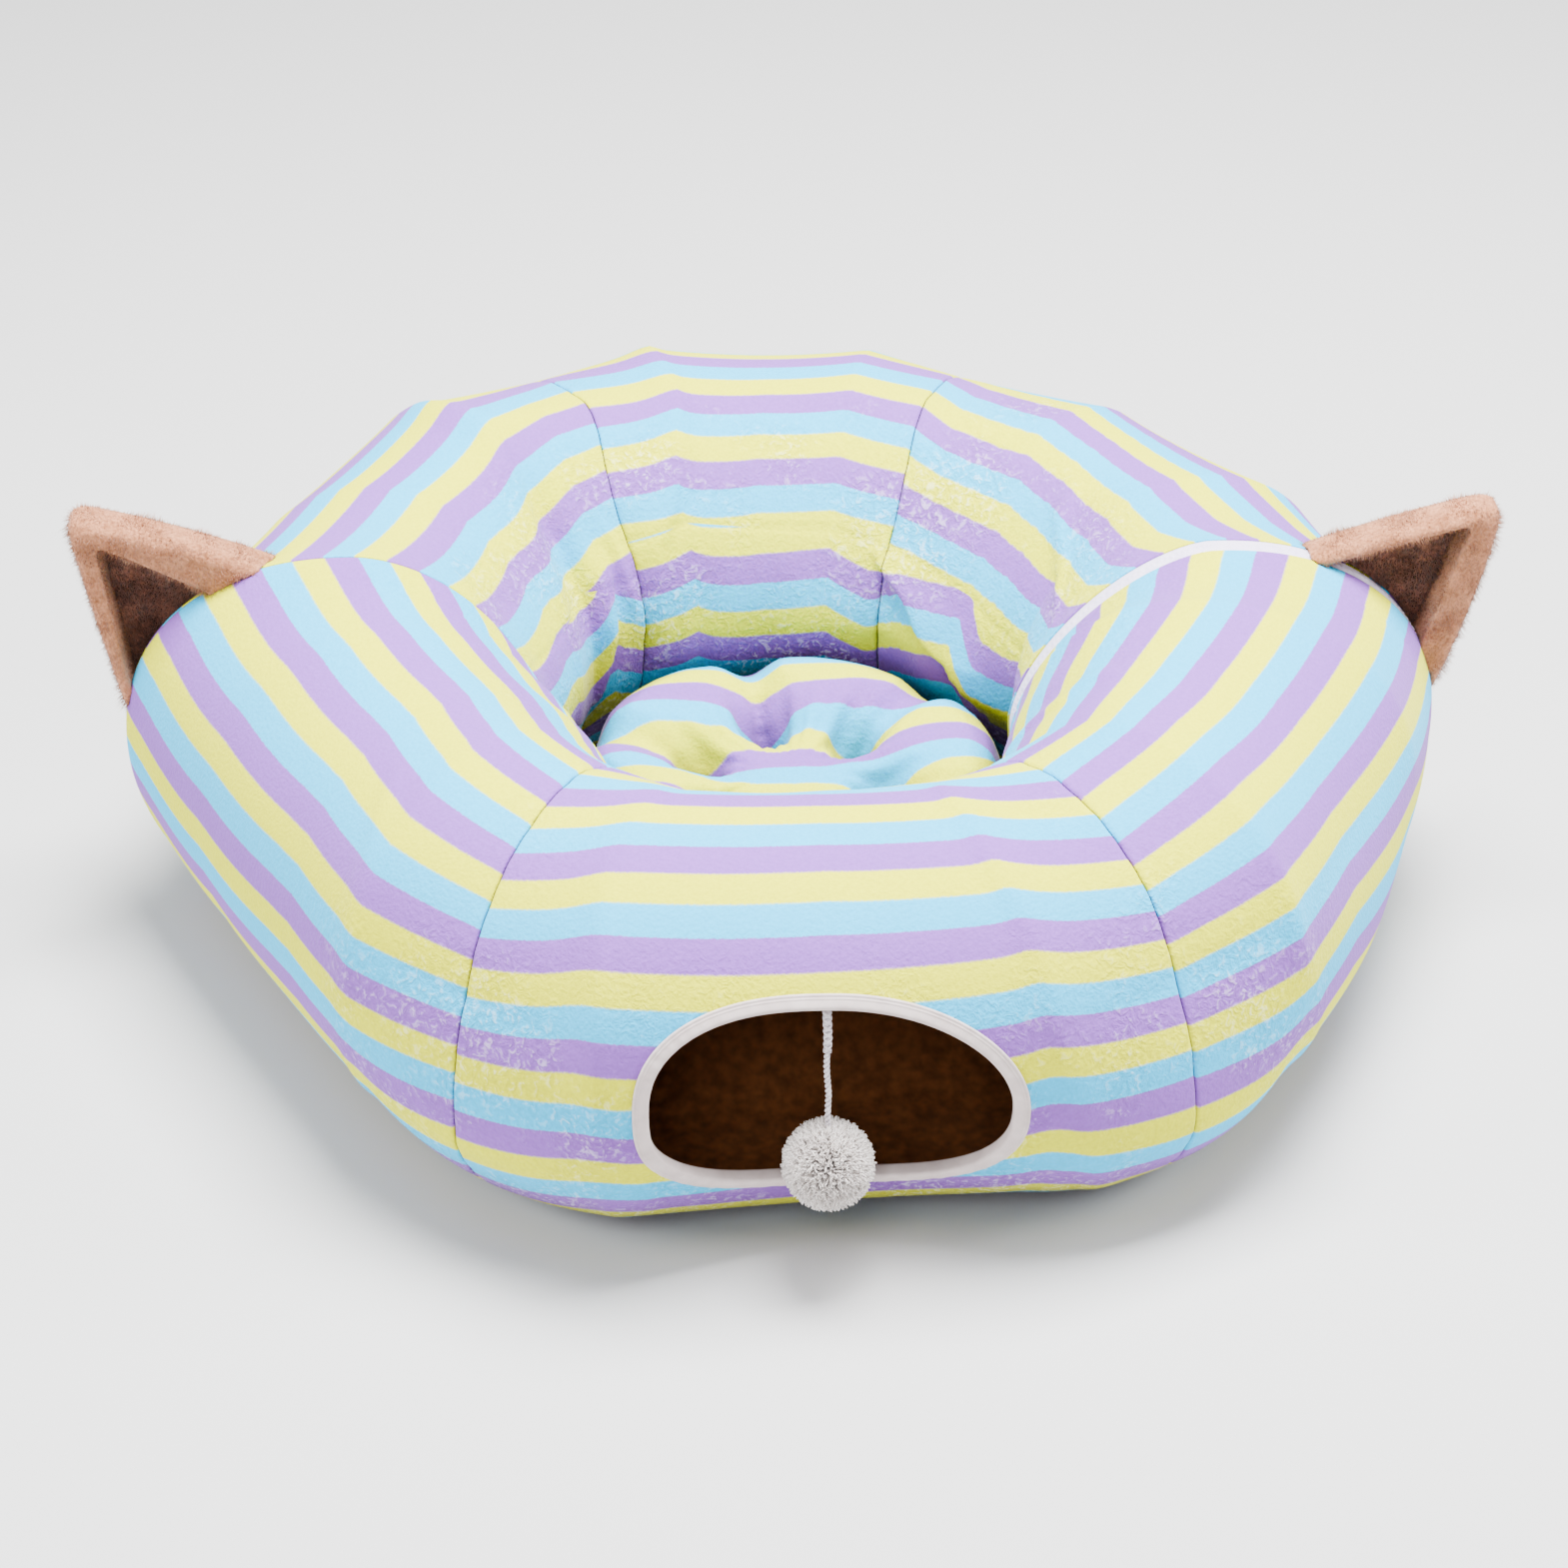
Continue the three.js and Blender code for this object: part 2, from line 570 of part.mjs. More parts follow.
/** Pompom: a ball of three-sided locks whose roots share one core. */
function pompomGeometry() {
  const core = new THREE.IcosahedronGeometry(POMPOM.core, POMPOM.detail);
  core.deleteAttribute('normal');
  core.deleteAttribute('uv');
  const ball = mergeVertices(core, 1e-3);
  const position = ball.attributes.position;
  const points = [];
  for (let i = 0; i < position.count; i += 1) {
    points.push(new THREE.Vector3().fromBufferAttribute(position, i));
  }
  const triangles = [];
  for (let i = 0; i < ball.index.count; i += 3) {
    const [a, b, c] = [0, 1, 2].map((corner) => ball.index.getX(i + corner));
    const middle = points[a].clone().add(points[b]).add(points[c]).divideScalar(3);
    const uneven = 1.3 * Math.sin(i * 1.7) + 0.9 * Math.sin(i * 0.61);
    const tip = points.length;
    points.push(middle.setLength(POMPOM.radius - 1.5 + uneven));
    triangles.push([a, b, tip], [b, c, tip], [c, a, tip]);
  }
  return solidGeometry(points, triangles);
}

const tunnel = new THREE.Group();

/** Add a piece to the tunnel under its name, in its material. */
function addPiece(name, geometry, finish) {
  const material = new THREE.MeshStandardMaterial({ metalness: 0, ...MATERIALS[finish] });
  const mesh = new THREE.Mesh(geometry, material);
  mesh.name = name;
  tunnel.add(mesh);
  return mesh;
}

// The cat hole goes through the front panel and the lining behind it
const cutter = holeCutter(CUT_SETBACK);
const frontWhole = panelGeometry({ start: SEAM.frontLeft, end: SEAM.frontRight });
const frontCut = fromSolid(toSolid(frontWhole).subtract(cutter));
const liningWhole = frontLayer(PLUSH + GAP, PLUSH + GAP + LINING);
const liningCut = fromSolid(toSolid(liningWhole).subtract(cutter));
const clothGrown = toSolid(frontLayer(-GAP, PLUSH + LINING + 2 * GAP))
  .subtract(holeCutter(CUT_SETBACK - GAP));

addPiece('front_panel', frontCut, 'plush');
for (const [name, panel] of Object.entries(PANELS)) {
  addPiece(name, panelGeometry(panel), 'plush');
}
addPiece('lining', liningCut, 'lining');
addPiece('zip', zipGeometry(), 'zip');

const frontFace = new THREE.Mesh(frontWhole, new THREE.MeshStandardMaterial({ side: THREE.DoubleSide }));
addPiece('hole_binding', bindingGeometry(frontFace, clothGrown), 'binding');

const seats = {
  left: filledPanels([PANELS.back_left_panel, PANELS.front_left_panel]),
  right: filledPanels([PANELS.front_right_panel, PANELS.back_right_panel]),
};
for (const ear of EARS) {
  const seat = seats[ear.side];
  const hollow = EAR_HOLLOWS.find((entry) => entry.side === ear.side);
  const outer = earSolid(ear, EAR_LAYERS).subtract(earSolid(hollow, HOLLOW_LAYERS)).subtract(seat);
  const inner = earSolid(hollow, EAR_LINING).subtract(seat);
  addPiece(`ear_${ear.side}_outer`, fromSolid(outer), 'earOuter');
  addPiece(`ear_${ear.side}_inner`, fromSolid(inner), 'earInner');
}

addPiece('cushion', cushionGeometry(), 'plush');
addPiece('pompom_cord', cordGeometry(), 'cord');
const pompom = addPiece('pompom', pompomGeometry(), 'pompom');
pompom.position.set(POMPOM.x, POMPOM.y, POMPOM.z);

export default tunnel;
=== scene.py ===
# %% [markdown]
# # Striped plush cat tunnel
# A ring-shaped play tunnel: six plush panels over hidden wire hoops, a bound cat hole with a pompom,
# two ears at the joints and a tufted cushion in the middle. Sizes are metres unless a name says
# otherwise. "Turn" is the angle round the ring, 0 at the cat hole and growing towards +X. "Around" is
# the angle round the tunnel, 0 outermost, 90 on top and 180 innermost.

import math

import bmesh
import bpy
import numpy as np
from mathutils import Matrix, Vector


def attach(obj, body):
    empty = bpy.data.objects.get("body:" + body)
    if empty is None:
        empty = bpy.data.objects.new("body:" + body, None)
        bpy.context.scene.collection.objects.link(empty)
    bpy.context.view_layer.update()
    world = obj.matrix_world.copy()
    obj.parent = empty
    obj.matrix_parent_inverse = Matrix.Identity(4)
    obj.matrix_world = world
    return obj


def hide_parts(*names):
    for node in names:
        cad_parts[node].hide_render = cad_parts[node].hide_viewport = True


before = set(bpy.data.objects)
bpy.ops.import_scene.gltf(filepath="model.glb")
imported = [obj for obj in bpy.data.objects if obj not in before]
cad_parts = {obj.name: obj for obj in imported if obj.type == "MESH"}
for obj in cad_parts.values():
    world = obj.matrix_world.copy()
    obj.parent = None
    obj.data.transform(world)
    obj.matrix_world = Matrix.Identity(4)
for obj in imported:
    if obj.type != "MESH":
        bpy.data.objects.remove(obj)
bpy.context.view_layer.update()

# %% [markdown]
# ## Camera
# The photograph looks down at the ring by about 33 degrees and a little from the left, through a long
# lens from 2.6 m away. A small shift puts the ring a little above the middle of the picture.

# %% Camera
LOOK_DOWN = math.radians(33.06)
LOOK_LEFT = math.radians(3.5)
DISTANCE = 2.6
AIM = Vector((0, 0, 0.12))

camera = bpy.data.objects.new("Camera", bpy.data.cameras.new("Camera"))
bpy.context.scene.collection.objects.link(camera)
camera.location = AIM + DISTANCE * Vector((
    -math.cos(LOOK_DOWN) * math.sin(LOOK_LEFT),
    -math.cos(LOOK_DOWN) * math.cos(LOOK_LEFT),
    math.sin(LOOK_DOWN),
))
camera.rotation_euler = (AIM - camera.location).to_track_quat("-Z", "Y").to_euler()
camera.data.lens = 90.5
camera.data.shift_x = -0.0038
camera.data.shift_y = -0.0229
bpy.context.scene.camera = camera
print("camera at", [round(c, 3) for c in camera.location])

# %% [markdown]
# ## The ring's measures
# Spring wire hoops hold the plush open. Between two hoops the cloth is pulled nearly straight, sags a
# little on top and bulges low on the outside, where it is slack. On the cushion's side it hangs: it is
# narrower there, its upper quarter is rounder or squarer, and it has drifted round the ring. The table
# gives each hoop's place round the ring, how far its outermost point reaches, half its width and
# height, the half width, squareness and drift on the cushion's side, and the bulge of the slack cloth
# from there to the next hoop, in millimetres and degrees.

# %% Hoops and cloth
HOOPS = np.array([
    # turn, reach, half width, half height, inner half width, shoulder's squareness, drift, bulge
    (-166.5, 414, 135, 132, 132, 2.20, 7.5, 12),
    (-136, 414, 134, 136, 106, 1.60, 4, 10),
    (-115, 403, 133, 131, 118, 1.80, 1, 6),
    (-92, 435, 153, 138, 121, 1.89, 0, 3),
    (-76, 393, 132, 133, 130, 1.65, 0, 3),
    (-44, 403, 132, 134, 126, 1.55, 0, 18),
    (-19, 421, 127, 130, 111, 2.15, 0, -3),
    (19, 409, 128, 125, 117, 2.10, 0, 26),
    (43, 422, 134, 134, 124, 1.70, 0, 12),
    (76, 408, 135, 134, 129, 2.10, 0, 3),
    (91, 428, 154, 132, 128, 1.57, 0, 6),
    (113, 415, 138, 128, 112, 1.80, -2, 8),
    (136, 406, 133, 128, 122, 1.60, -6, 12),
    (167, 409, 135, 130, 130, 1.80, 0, 10),
], float)
LEFT_END, RIGHT_END = -92.0, 91.0
FRONT_LEFT, FRONT_RIGHT, BACK_RIGHT, BACK_LEFT = -32.0, 31.0, 155.5, 208.5
SQUARENESS = 2.15     # of a hoop's outline: 2 is an ellipse, more is squarer
FLOOR_PRESS = 5.0     # mm of the roundness that the floor takes away
TOP_SAG = 5.0         # mm between two hoops
SLUMP = 9.0           # mm that the cut cloth under the cat hole falls inwards
SLUMP_SPREAD = 19.0   # degrees of turn
SEAM_TUCK = 7.0       # mm that a seam pulls in on the cushion's side
GAP = 0.3             # mm between pieces that meet
ZIP_WIDTH = 13.0      # mm

FOLDS = [
    # name, height and the reach before and after its ridge in mm, then (around, turn) along it
    ("front left wire", 2.2, 16, 7, [(-45, -16), (-10, -16), (8, -18), (34, -19), (68, -21.5), (110, -21)]),
    ("front right wire", 2.4, 7, 16, [(-50, 25), (-9, 21), (24, 19), (47, 18.5), (75, 17.5), (110, 18)]),
    ("left wire", 1.6, 10, 10, [(-40, -47), (18, -45), (44, -46), (65, -50)]),
    ("right wire", 1.6, 10, 10, [(-40, 49), (-10, 47), (14, 43), (40, 43), (70, 46)]),
    ("back left wire", 3.0, 9, 14, [(60, -135), (89, -134), (121, -133), (133, -130.5), (152, -127)]),
    ("back left fold", 3.0, 8, 8,
     [(118, -141), (127, -141), (139, -140), (148, -139), (160, -138), (176, -139)]),
    ("back left curtain", 8.0, 4, 22, [(150, -144), (165, -142), (176, -141), (193, -138), (204, -136)]),
    ("back wire", 3.0, 8, 18,
     [(60, -166), (90, -165), (122, -167), (132, -166), (141, -163), (151, -157), (181, -152)]),
    ("back left pleat", 4.0, 5, 6, [(140, -147.5), (156, -148), (170, -149)]),
    ("back right crease", 9.0, 26, 3,
     [(150, 157), (155, 155), (161, 149), (172, 142), (184, 133), (192, 122)]),
    ("back right fold", 3.5, 7, 10, [(112, 124), (121, 123), (138, 112), (144, 100)]),
    ("back right dimple", -2.5, 10, 10, [(104, 140), (112, 143), (117, 147)]),
    ("front right crease", 3.5, 4, 12, [(112, 57), (119, 56), (128, 53), (142, 52), (155, 48)]),
]


def smooth(value, low, high):
    """0 below low, 1 above high, and an S curve in between."""
    share = np.clip((value - low) / (high - low), 0, 1)
    return share * share * (3 - 2 * share)


def bump(value, middle, spread):
    """A bell: 1 at the middle, falling off over the spread."""
    return np.exp(-(((value - middle) / spread) ** 2))


def wrapped(angle):
    """The same angle between -180 and 180 degrees."""
    return (angle + 180) % 360 - 180


def squared(value, squareness=SQUARENESS):
    """A sine or cosine raised to the power that squares up the circle."""
    return np.sign(value) * np.abs(value) ** (2 / squareness)


def folds(turn, around):
    """How far the slack cloth stands off its taut shape, in mm, outwards positive.
    Each named fold is a ridge that falls off over its reach on either side. Soft waves run across the
    walls between the wires, upright pleats hang on the cushion's side and only fall back from it, and
    short puckers stand across the seams, where the thread draws the cloth together."""
    low = wrapped(around)
    place = (around + 90) % 360 - 90
    scale = math.pi / 180 * (280 + 133 * np.cos(np.radians(around)))
    total = 0
    for _, height, before, after, knots in FOLDS:
        along, across = np.transpose(knots)
        away = wrapped(turn - np.interp(place, along, across)) * scale
        fade = smooth(place, along[0] - 9, along[0] + 9) * (1 - smooth(place, along[-1] - 9, along[-1] + 9))
        total = total + height * fade * bump(away, 0, np.where(away < 0, before, after))
    slack = smooth(low, -125, -70) * (1 - smooth(low, 30, 75))
    waves = 0.5 * np.sin(np.radians(turn * 9.1 + low * 1.3 + 40)) \
        + 0.35 * np.sin(np.radians(turn * 15.7 - low * 2.1 + 110))
    inner = smooth(np.abs(low), 108, 140)
    pleats = 1.3 * (np.sin(np.radians(turn * 11 + 25 + 14 * np.sin(np.radians(low * 2)))) - 1) \
        + 0.8 * (np.sin(np.radians(turn * 23 + 70)) - 1)
    uneven = np.sin(np.radians(around * 17 + 60 * np.sin(np.radians(around * 3.7)))) \
        + 0.6 * np.sin(np.radians(around * 41))
    puckers = sum(np.exp(-np.abs(wrapped(turn - seam)) * scale / 9) * (uneven * math.copysign(0.4,
        seam - 30) - 0.5)
                  for seam in (FRONT_LEFT, FRONT_RIGHT, BACK_RIGHT, BACK_LEFT))
    calm = 1 - bump(wrapped(turn), 0, 17) * smooth(low, -75, -55) * (1 - smooth(low, 20, 45))
    joints = 1 - sum(bump(wrapped(turn - end), 0, 4) for end in (LEFT_END, RIGHT_END))
    return (total + slack * waves + inner * pleats + puckers) * calm * joints


def ring(turn, around, depth=0.0, folded=True):
    """Points of the tunnel's cloth, a depth in mm under its face.
    Between two hoops the reach follows the straight line that taut cloth takes, plus the slack's bulge,
    and the height goes evenly from one to the next, less the sag on top."""
    turn, around, depth = np.broadcast_arrays(*(np.asarray(v, float) for v in (turn, around, depth)))
    if folded:
        depth = depth - folds(turn, around)
    places = HOOPS[:, 0]
    lap = (turn - places[0]) % 360 + places[0]
    second = np.searchsorted(places, lap, side="right") % len(places)
    first = second - 1
    span = (places[second] - places[first]) % 360
    past = (lap - places[first]) % 360
    across, up = np.cos(np.radians(around)), np.sin(np.radians(around))

    def at_hoop(index):
        _, reach, half_width, half_height, inner, shoulder, _, _ = HOOPS[index].transpose((-1,
            *range(turn.ndim)))
        power = np.where((across < 0) & (up > 0), shoulder, SQUARENESS)
        width = np.where(across < 0, inner, half_width)
        out = reach - half_width + (width - depth) * squared(across, power)
        height = half_height - FLOOR_PRESS + (half_height - depth) * squared(up, power)
        return out, np.maximum(height, depth)

    (reach_a, height_a), (reach_b, height_b) = at_hoop(first), at_hoop(second)
    low = wrapped(around)
    share = past / span
    swell = 4 * share * (1 - share)
    taut = reach_a * reach_b * np.sin(np.radians(span)) / (
        reach_a * np.sin(np.radians(past)) + reach_b * np.sin(np.radians(span - past)))
    slackness = np.clip((20 - low) / 40, 0, 1) * np.clip((low + 140) / 40, 0, 1)
    side = np.clip(np.abs(wrapped(turn)) / SLUMP_SPREAD, 0, 1)
    slump = SLUMP * np.cos(side * math.pi / 2) ** 2 * smooth(low, -54, -32) * (1 - smooth(low, -22, 12))
    reach = taut + HOOPS[first, 7] * swell * slackness - slump
    height = height_a + (height_b - height_a) * share - TOP_SAG * swell * np.maximum(0,
        np.sin(np.radians(around)))
    height = np.maximum(height, np.maximum(depth, 0) + 0.02)
    hanging = smooth(around % 360, 90, 140) * (1 - smooth(around % 360, 220, 270))
    angle = np.radians(turn + (HOOPS[first, 6] * (1 - share) + HOOPS[second, 6] * share) * hanging)
    return np.stack([reach * np.sin(angle), -reach * np.cos(angle), height], -1) / 1000


def along_ring(turn):
    """The direction along the ring at a turn."""
    angle = np.radians(np.asarray(turn, float))
    return np.stack([np.cos(angle), np.sin(angle), np.zeros_like(angle)], -1)


print("outermost point of the front hoop:", ring(-19, 0).round(3))

# %% [markdown]
# ## Building meshes
# Each piece of cloth is a grid of points worked out for the whole array at once. The faces carry a
# flat layout in metres as their UVs, along the cloth and across its stripes, so that the stripes are
# printed on the cloth and follow every fold.

# %% Mesh tools
def grid(rows, columns, first=0, wrap=False):
    """Quads of a grid of points, and which layout corner each face corner takes.
    With wrap, the last column of layout corners meets the first column of points."""
    i, j = np.meshgrid(np.arange(rows - 1), np.arange(columns if wrap else columns - 1), indexing="ij")
    width = columns + 1 if wrap else columns
    around = [(i, j), (i + 1, j), (i + 1, j + 1), (i, j + 1)]
    points = np.stack([first + a * columns + b % columns for a, b in around], -1)
    corners = np.stack([a * width + b for a, b in around], -1)
    return points.reshape(-1, 4), corners.reshape(-1, 4)


def mesh_piece(name, points, faces, layout=None, smooth_faces=True):
    """A mesh object from points, a list of faces and, face corner by face corner, their layout."""
    mesh = bpy.data.meshes.new(name)
    mesh.from_pydata(np.asarray(points).tolist(), [], [list(map(int, face)) for face in faces])
    if layout is not None:
        mesh.uv_layers.new(name="Cloth").data.foreach_set("uv",
                                                          np.concatenate(layout).astype(np.float32).ravel())
    mesh.polygons.foreach_set("use_smooth", np.full(len(mesh.polygons), smooth_faces))
    piece = bpy.data.objects.new(name, mesh)
    bpy.context.scene.collection.objects.link(piece)
    return piece


def dress(piece, material, slot, *nodes):
    """Give a piece its material and its place in the part."""
    piece.data.materials.clear()
    piece.data.materials.append(material)
    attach(piece, "root")
    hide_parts(*nodes)
    triangles = sum(len(face.vertices) - 2 for face in piece.data.polygons)
    print(f"{piece.name}: {triangles} triangles")


def mark_slack(piece, share):
    """How slack the cloth is at each vertex, from 0 to 1, for the material to read: it places the
    mottling and the painted glints there.
    """
    piece.data.attributes.new("Slack", "FLOAT", "POINT").data.foreach_set("value",
        np.asarray(share, np.float32).ravel())


def apply_modifier(piece, modifier):
    """Apply one modifier to its piece."""
    bpy.context.view_layer.objects.active = piece
    bpy.ops.object.modifier_apply(modifier=modifier.name)


# %% [markdown]
# ## Colours and materials
# The plush is short-cut knitted pile, printed in stripes. A stripe is 20 mm wide, and the pile blurs
# its edge by about half a millimetre. Where the cloth is slack the pile is brushed about: there tufts a
# few millimetres long lean this way and that, the colour is mottled, and the tufts that show their roots
# are darker in colour. Where tufts stand out, near-white is mixed into the colour as painted glints, a
# painted highlight. In narrow gaps an ambient occlusion node darkens the colour: painted shade. Every
# pattern is sized in real millimetres.

# %% Node helpers
def srgb(code, alpha=1.0):
    """Linear colour of a hex code."""
    parts = [int(code[i:i + 2], 16) / 255 for i in (1, 3, 5)]
    return (*(c / 12.92 if c <= 0.04045 else ((c + 0.055) / 1.055) ** 2.4 for c in parts), alpha)


def add(tree, kind, settings=None, **inputs):
    """Add a node with its settings; an input takes a value or another node's socket."""
    made = tree.nodes.new(kind)
    for key, value in (settings or {}).items():
        setattr(made, key, value)
    for key, value in inputs.items():
        socket = made.inputs[int(key[1:])] if key[0] == "i" and key[1:].isdigit() else made.inputs[key.replace("_", " ")]
        if isinstance(value, bpy.types.NodeSocket):
            tree.links.new(value, socket)
        else:
            socket.default_value = value
    return made


def cloth_material(name, roughness, sheen, sheen_roughness=0.4):
    """A new material with a Principled surface for cloth, and its node tree."""
    material = bpy.data.materials.new(name)
    material.use_nodes = True
    tree = material.node_tree
    surface = tree.nodes["Principled BSDF"]
    surface.inputs["Roughness"].default_value = roughness
    surface.inputs["IOR"].default_value = 1.45
    surface.inputs["Specular IOR Level"].default_value = 0.25
    surface.inputs["Sheen Weight"].default_value = sheen
    surface.inputs["Sheen Roughness"].default_value = sheen_roughness
    return material, tree, surface


# %% Striped plush
STRIPE = 0.020
STRIPE_COLOURS = ["#00BEF4", "#DEDF00", "#8E58BE"]   # light blue, pale yellow, lavender
BACKING = "#CFC6CE"


def striped_plush(name):
    """Printed plush: three colours in turn across the cloth, mottled by how the pile lies,
    with painted glints on brushed tufts and painted shade in narrow gaps.
    """
    material, tree, surface = cloth_material(name, 0.9, 0.12)
    layout = add(tree, "ShaderNodeUVMap", {"uv_map": "Cloth"})
    place = add(tree, "ShaderNodeTexCoord")
    split = add(tree, "ShaderNodeSeparateXYZ", Vector=layout.outputs["UV"])
    ragged = add(tree, "ShaderNodeTexNoise", Vector=place.outputs["Object"], Scale=700.0, Detail=2.0)
    shift = add(tree, "ShaderNodeMath", {"operation": "MULTIPLY_ADD"}, i0=ragged.outputs["Fac"], i1=0.0016,
                i2=split.outputs["Y"])
    count = add(tree, "ShaderNodeMath", {"operation": "DIVIDE"}, i0=shift.outputs[0], i1=3 * STRIPE)
    share = add(tree, "ShaderNodeMath", {"operation": "FRACT"}, i0=count.outputs[0])
    ramp = add(tree, "ShaderNodeValToRGB", Fac=share.outputs[0])
    blur = 0.012
    stops = [(0.0, 2), (blur, 0), (1 / 3 - blur, 0), (1 / 3 + blur, 1), (2 / 3 - blur, 1),
             (2 / 3 + blur, 2), (1.0, 2)]
    while len(ramp.color_ramp.elements) < len(stops):
        ramp.color_ramp.elements.new(0.5)
    for element, (position, colour) in zip(ramp.color_ramp.elements, stops):
        element.position = position
        element.color = srgb(STRIPE_COLOURS[colour])
    tufts = add(tree, "ShaderNodeTexNoise", Vector=place.outputs["Object"], Scale=420.0, Detail=3.0,
                Roughness=0.6)
    patches = add(tree, "ShaderNodeTexNoise", Vector=place.outputs["Object"], Scale=16.0, Detail=2.0)
    slack = add(tree, "ShaderNodeAttribute", {"attribute_name": "Slack"})
    ruffle = add(tree, "ShaderNodeMapRange", Value=patches.outputs["Fac"], From_Min=0.42, From_Max=0.62,
                 To_Min=0.25, To_Max=1.0)
    loose = add(tree, "ShaderNodeMath", {"operation": "MULTIPLY"}, i0=ruffle.outputs[0],
                i1=slack.outputs["Fac"])
    bent = add(tree, "ShaderNodeTexNoise", Vector=place.outputs["Object"], Scale=130.0, Detail=1.0)
    lean = add(tree, "ShaderNodeVectorMath", {"operation": "MULTIPLY_ADD"}, Vector=bent.outputs["Color"],
               i1=(0.012, 0.012, 0.012), i2=place.outputs["Object"])
    brushed = add(tree, "ShaderNodeTexNoise", Vector=lean.outputs["Vector"], Scale=230.0, Detail=3.0,
                  Roughness=0.6)
    lock = add(tree, "ShaderNodeMapRange", Value=brushed.outputs["Fac"], From_Min=0.36, From_Max=0.64,
               To_Min=-1.0, To_Max=1.0)
    stir = add(tree, "ShaderNodeMath", {"operation": "MULTIPLY"}, i0=lock.outputs[0], i1=loose.outputs[0])
    grain = add(tree, "ShaderNodeMapRange", Value=tufts.outputs["Fac"], From_Min=0.3, From_Max=0.7,
                To_Min=0.92, To_Max=1.05)
    both = add(tree, "ShaderNodeMath", {"operation": "MULTIPLY_ADD"}, i0=stir.outputs[0], i1=0.14,
               i2=grain.outputs[0])
    # Painted shade: an ambient occlusion node darkens the base colour in narrow gaps and folds, on top of the
    # pile's mottling.
    shade = add(tree, "ShaderNodeAmbientOcclusion", {"samples": 6}, Distance=0.09)
    painted_nook_shade = add(tree, "ShaderNodeMapRange", Value=shade.outputs["AO"], From_Min=0.12, From_Max=0.62,
               To_Min=0.10, To_Max=1.0)
    mottle_and_painted_shade = add(tree, "ShaderNodeMath", {"operation": "MULTIPLY"}, i0=both.outputs[0], i1=painted_nook_shade.outputs[0])
    tone = add(tree, "ShaderNodeHueSaturation", Color=ramp.outputs["Color"], Value=mottle_and_painted_shade.outputs[0])
    # Painted highlight: near-white is mixed into the base colour where brushed tufts stand out, as painted
    # glints.
    tips = add(tree, "ShaderNodeMapRange", Value=stir.outputs[0], From_Min=0.25, From_Max=1.0, To_Min=0.0,
               To_Max=0.3)
    painted_glint = add(tree, "ShaderNodeMix", {"data_type": "RGBA"}, i0=tips.outputs[0], i6=tone.outputs["Color"],
                i7=srgb("#F4F6F6"))
    tree.links.new(painted_glint.outputs[2], surface.inputs["Base Color"])
    height = add(tree, "ShaderNodeMath", {"operation": "MULTIPLY_ADD"}, i0=stir.outputs[0], i1=0.9,
                 i2=tufts.outputs["Fac"])
    relief = add(tree, "ShaderNodeBump", Height=height.outputs[0], Strength=0.55, Distance=0.0012)
    tree.links.new(relief.outputs["Normal"], surface.inputs["Normal"])
    return material


plush = striped_plush("Striped short-pile plush")


# %% Other cloths
def pile_material(name, tips, roots, scale, sheen=0.5):
    """Plain plush: darker between its tufts than at their tips."""
    material, tree, surface = cloth_material(name, 0.92, sheen)
    place = add(tree, "ShaderNodeTexCoord")
    tufts = add(tree, "ShaderNodeTexNoise", Vector=place.outputs["Object"], Scale=scale, Detail=3.0,
                Roughness=0.6)
    lie = add(tree, "ShaderNodeTexNoise", Vector=place.outputs["Object"], Scale=scale / 7, Detail=3.0)
    mixed = add(tree, "ShaderNodeMath", {"operation": "MULTIPLY_ADD"}, i0=lie.outputs["Fac"], i1=0.7,
                i2=tufts.outputs["Fac"])
    share = add(tree, "ShaderNodeMapRange", Value=mixed.outputs[0], From_Min=0.6, From_Max=1.1)
    ramp = add(tree, "ShaderNodeValToRGB", Fac=share.outputs[0])
    ramp.color_ramp.elements[0].color = srgb(roots)
    ramp.color_ramp.elements[1].color = srgb(tips)
    tree.links.new(ramp.outputs["Color"], surface.inputs["Base Color"])
    relief = add(tree, "ShaderNodeBump", Height=mixed.outputs[0], Strength=0.7, Distance=0.0012)
    tree.links.new(relief.outputs["Normal"], surface.inputs["Normal"])
    return material


def woven_material(name, light, dark, pitch, sheen=0.1):
    """Plain-woven cloth: crossing threads at a pitch in metres, along its layout."""
    material, tree, surface = cloth_material(name, 0.8, sheen)
    layout = add(tree, "ShaderNodeUVMap", {"uv_map": "Cloth"})
    place = add(tree, "ShaderNodeTexCoord")
    sized = add(tree, "ShaderNodeVectorMath", {"operation": "SCALE"}, Vector=layout.outputs["UV"],
                Scale=2 * math.pi / pitch)
    split = add(tree, "ShaderNodeSeparateXYZ", Vector=sized.outputs["Vector"])
    warp = add(tree, "ShaderNodeMath", {"operation": "SINE"}, i0=split.outputs["X"])
    weft = add(tree, "ShaderNodeMath", {"operation": "SINE"}, i0=split.outputs["Y"])
    weave = add(tree, "ShaderNodeMath", {"operation": "MULTIPLY"}, i0=warp.outputs[0], i1=weft.outputs[0])
    uneven = add(tree, "ShaderNodeTexNoise", Vector=place.outputs["Object"], Scale=120.0, Detail=4.0)
    height = add(tree, "ShaderNodeMath", {"operation": "MULTIPLY_ADD"}, i0=weave.outputs[0], i1=0.25,
                 i2=uneven.outputs["Fac"])
    share = add(tree, "ShaderNodeMapRange", Value=height.outputs[0], From_Min=0.2, From_Max=0.8)
    ramp = add(tree, "ShaderNodeValToRGB", Fac=share.outputs[0])
    ramp.color_ramp.elements[0].color = srgb(dark)
    ramp.color_ramp.elements[1].color = srgb(light)
    tree.links.new(ramp.outputs["Color"], surface.inputs["Base Color"])
    relief = add(tree, "ShaderNodeBump", Height=height.outputs[0], Strength=0.5, Distance=0.0003)
    tree.links.new(relief.outputs["Normal"], surface.inputs["Normal"])
    return material


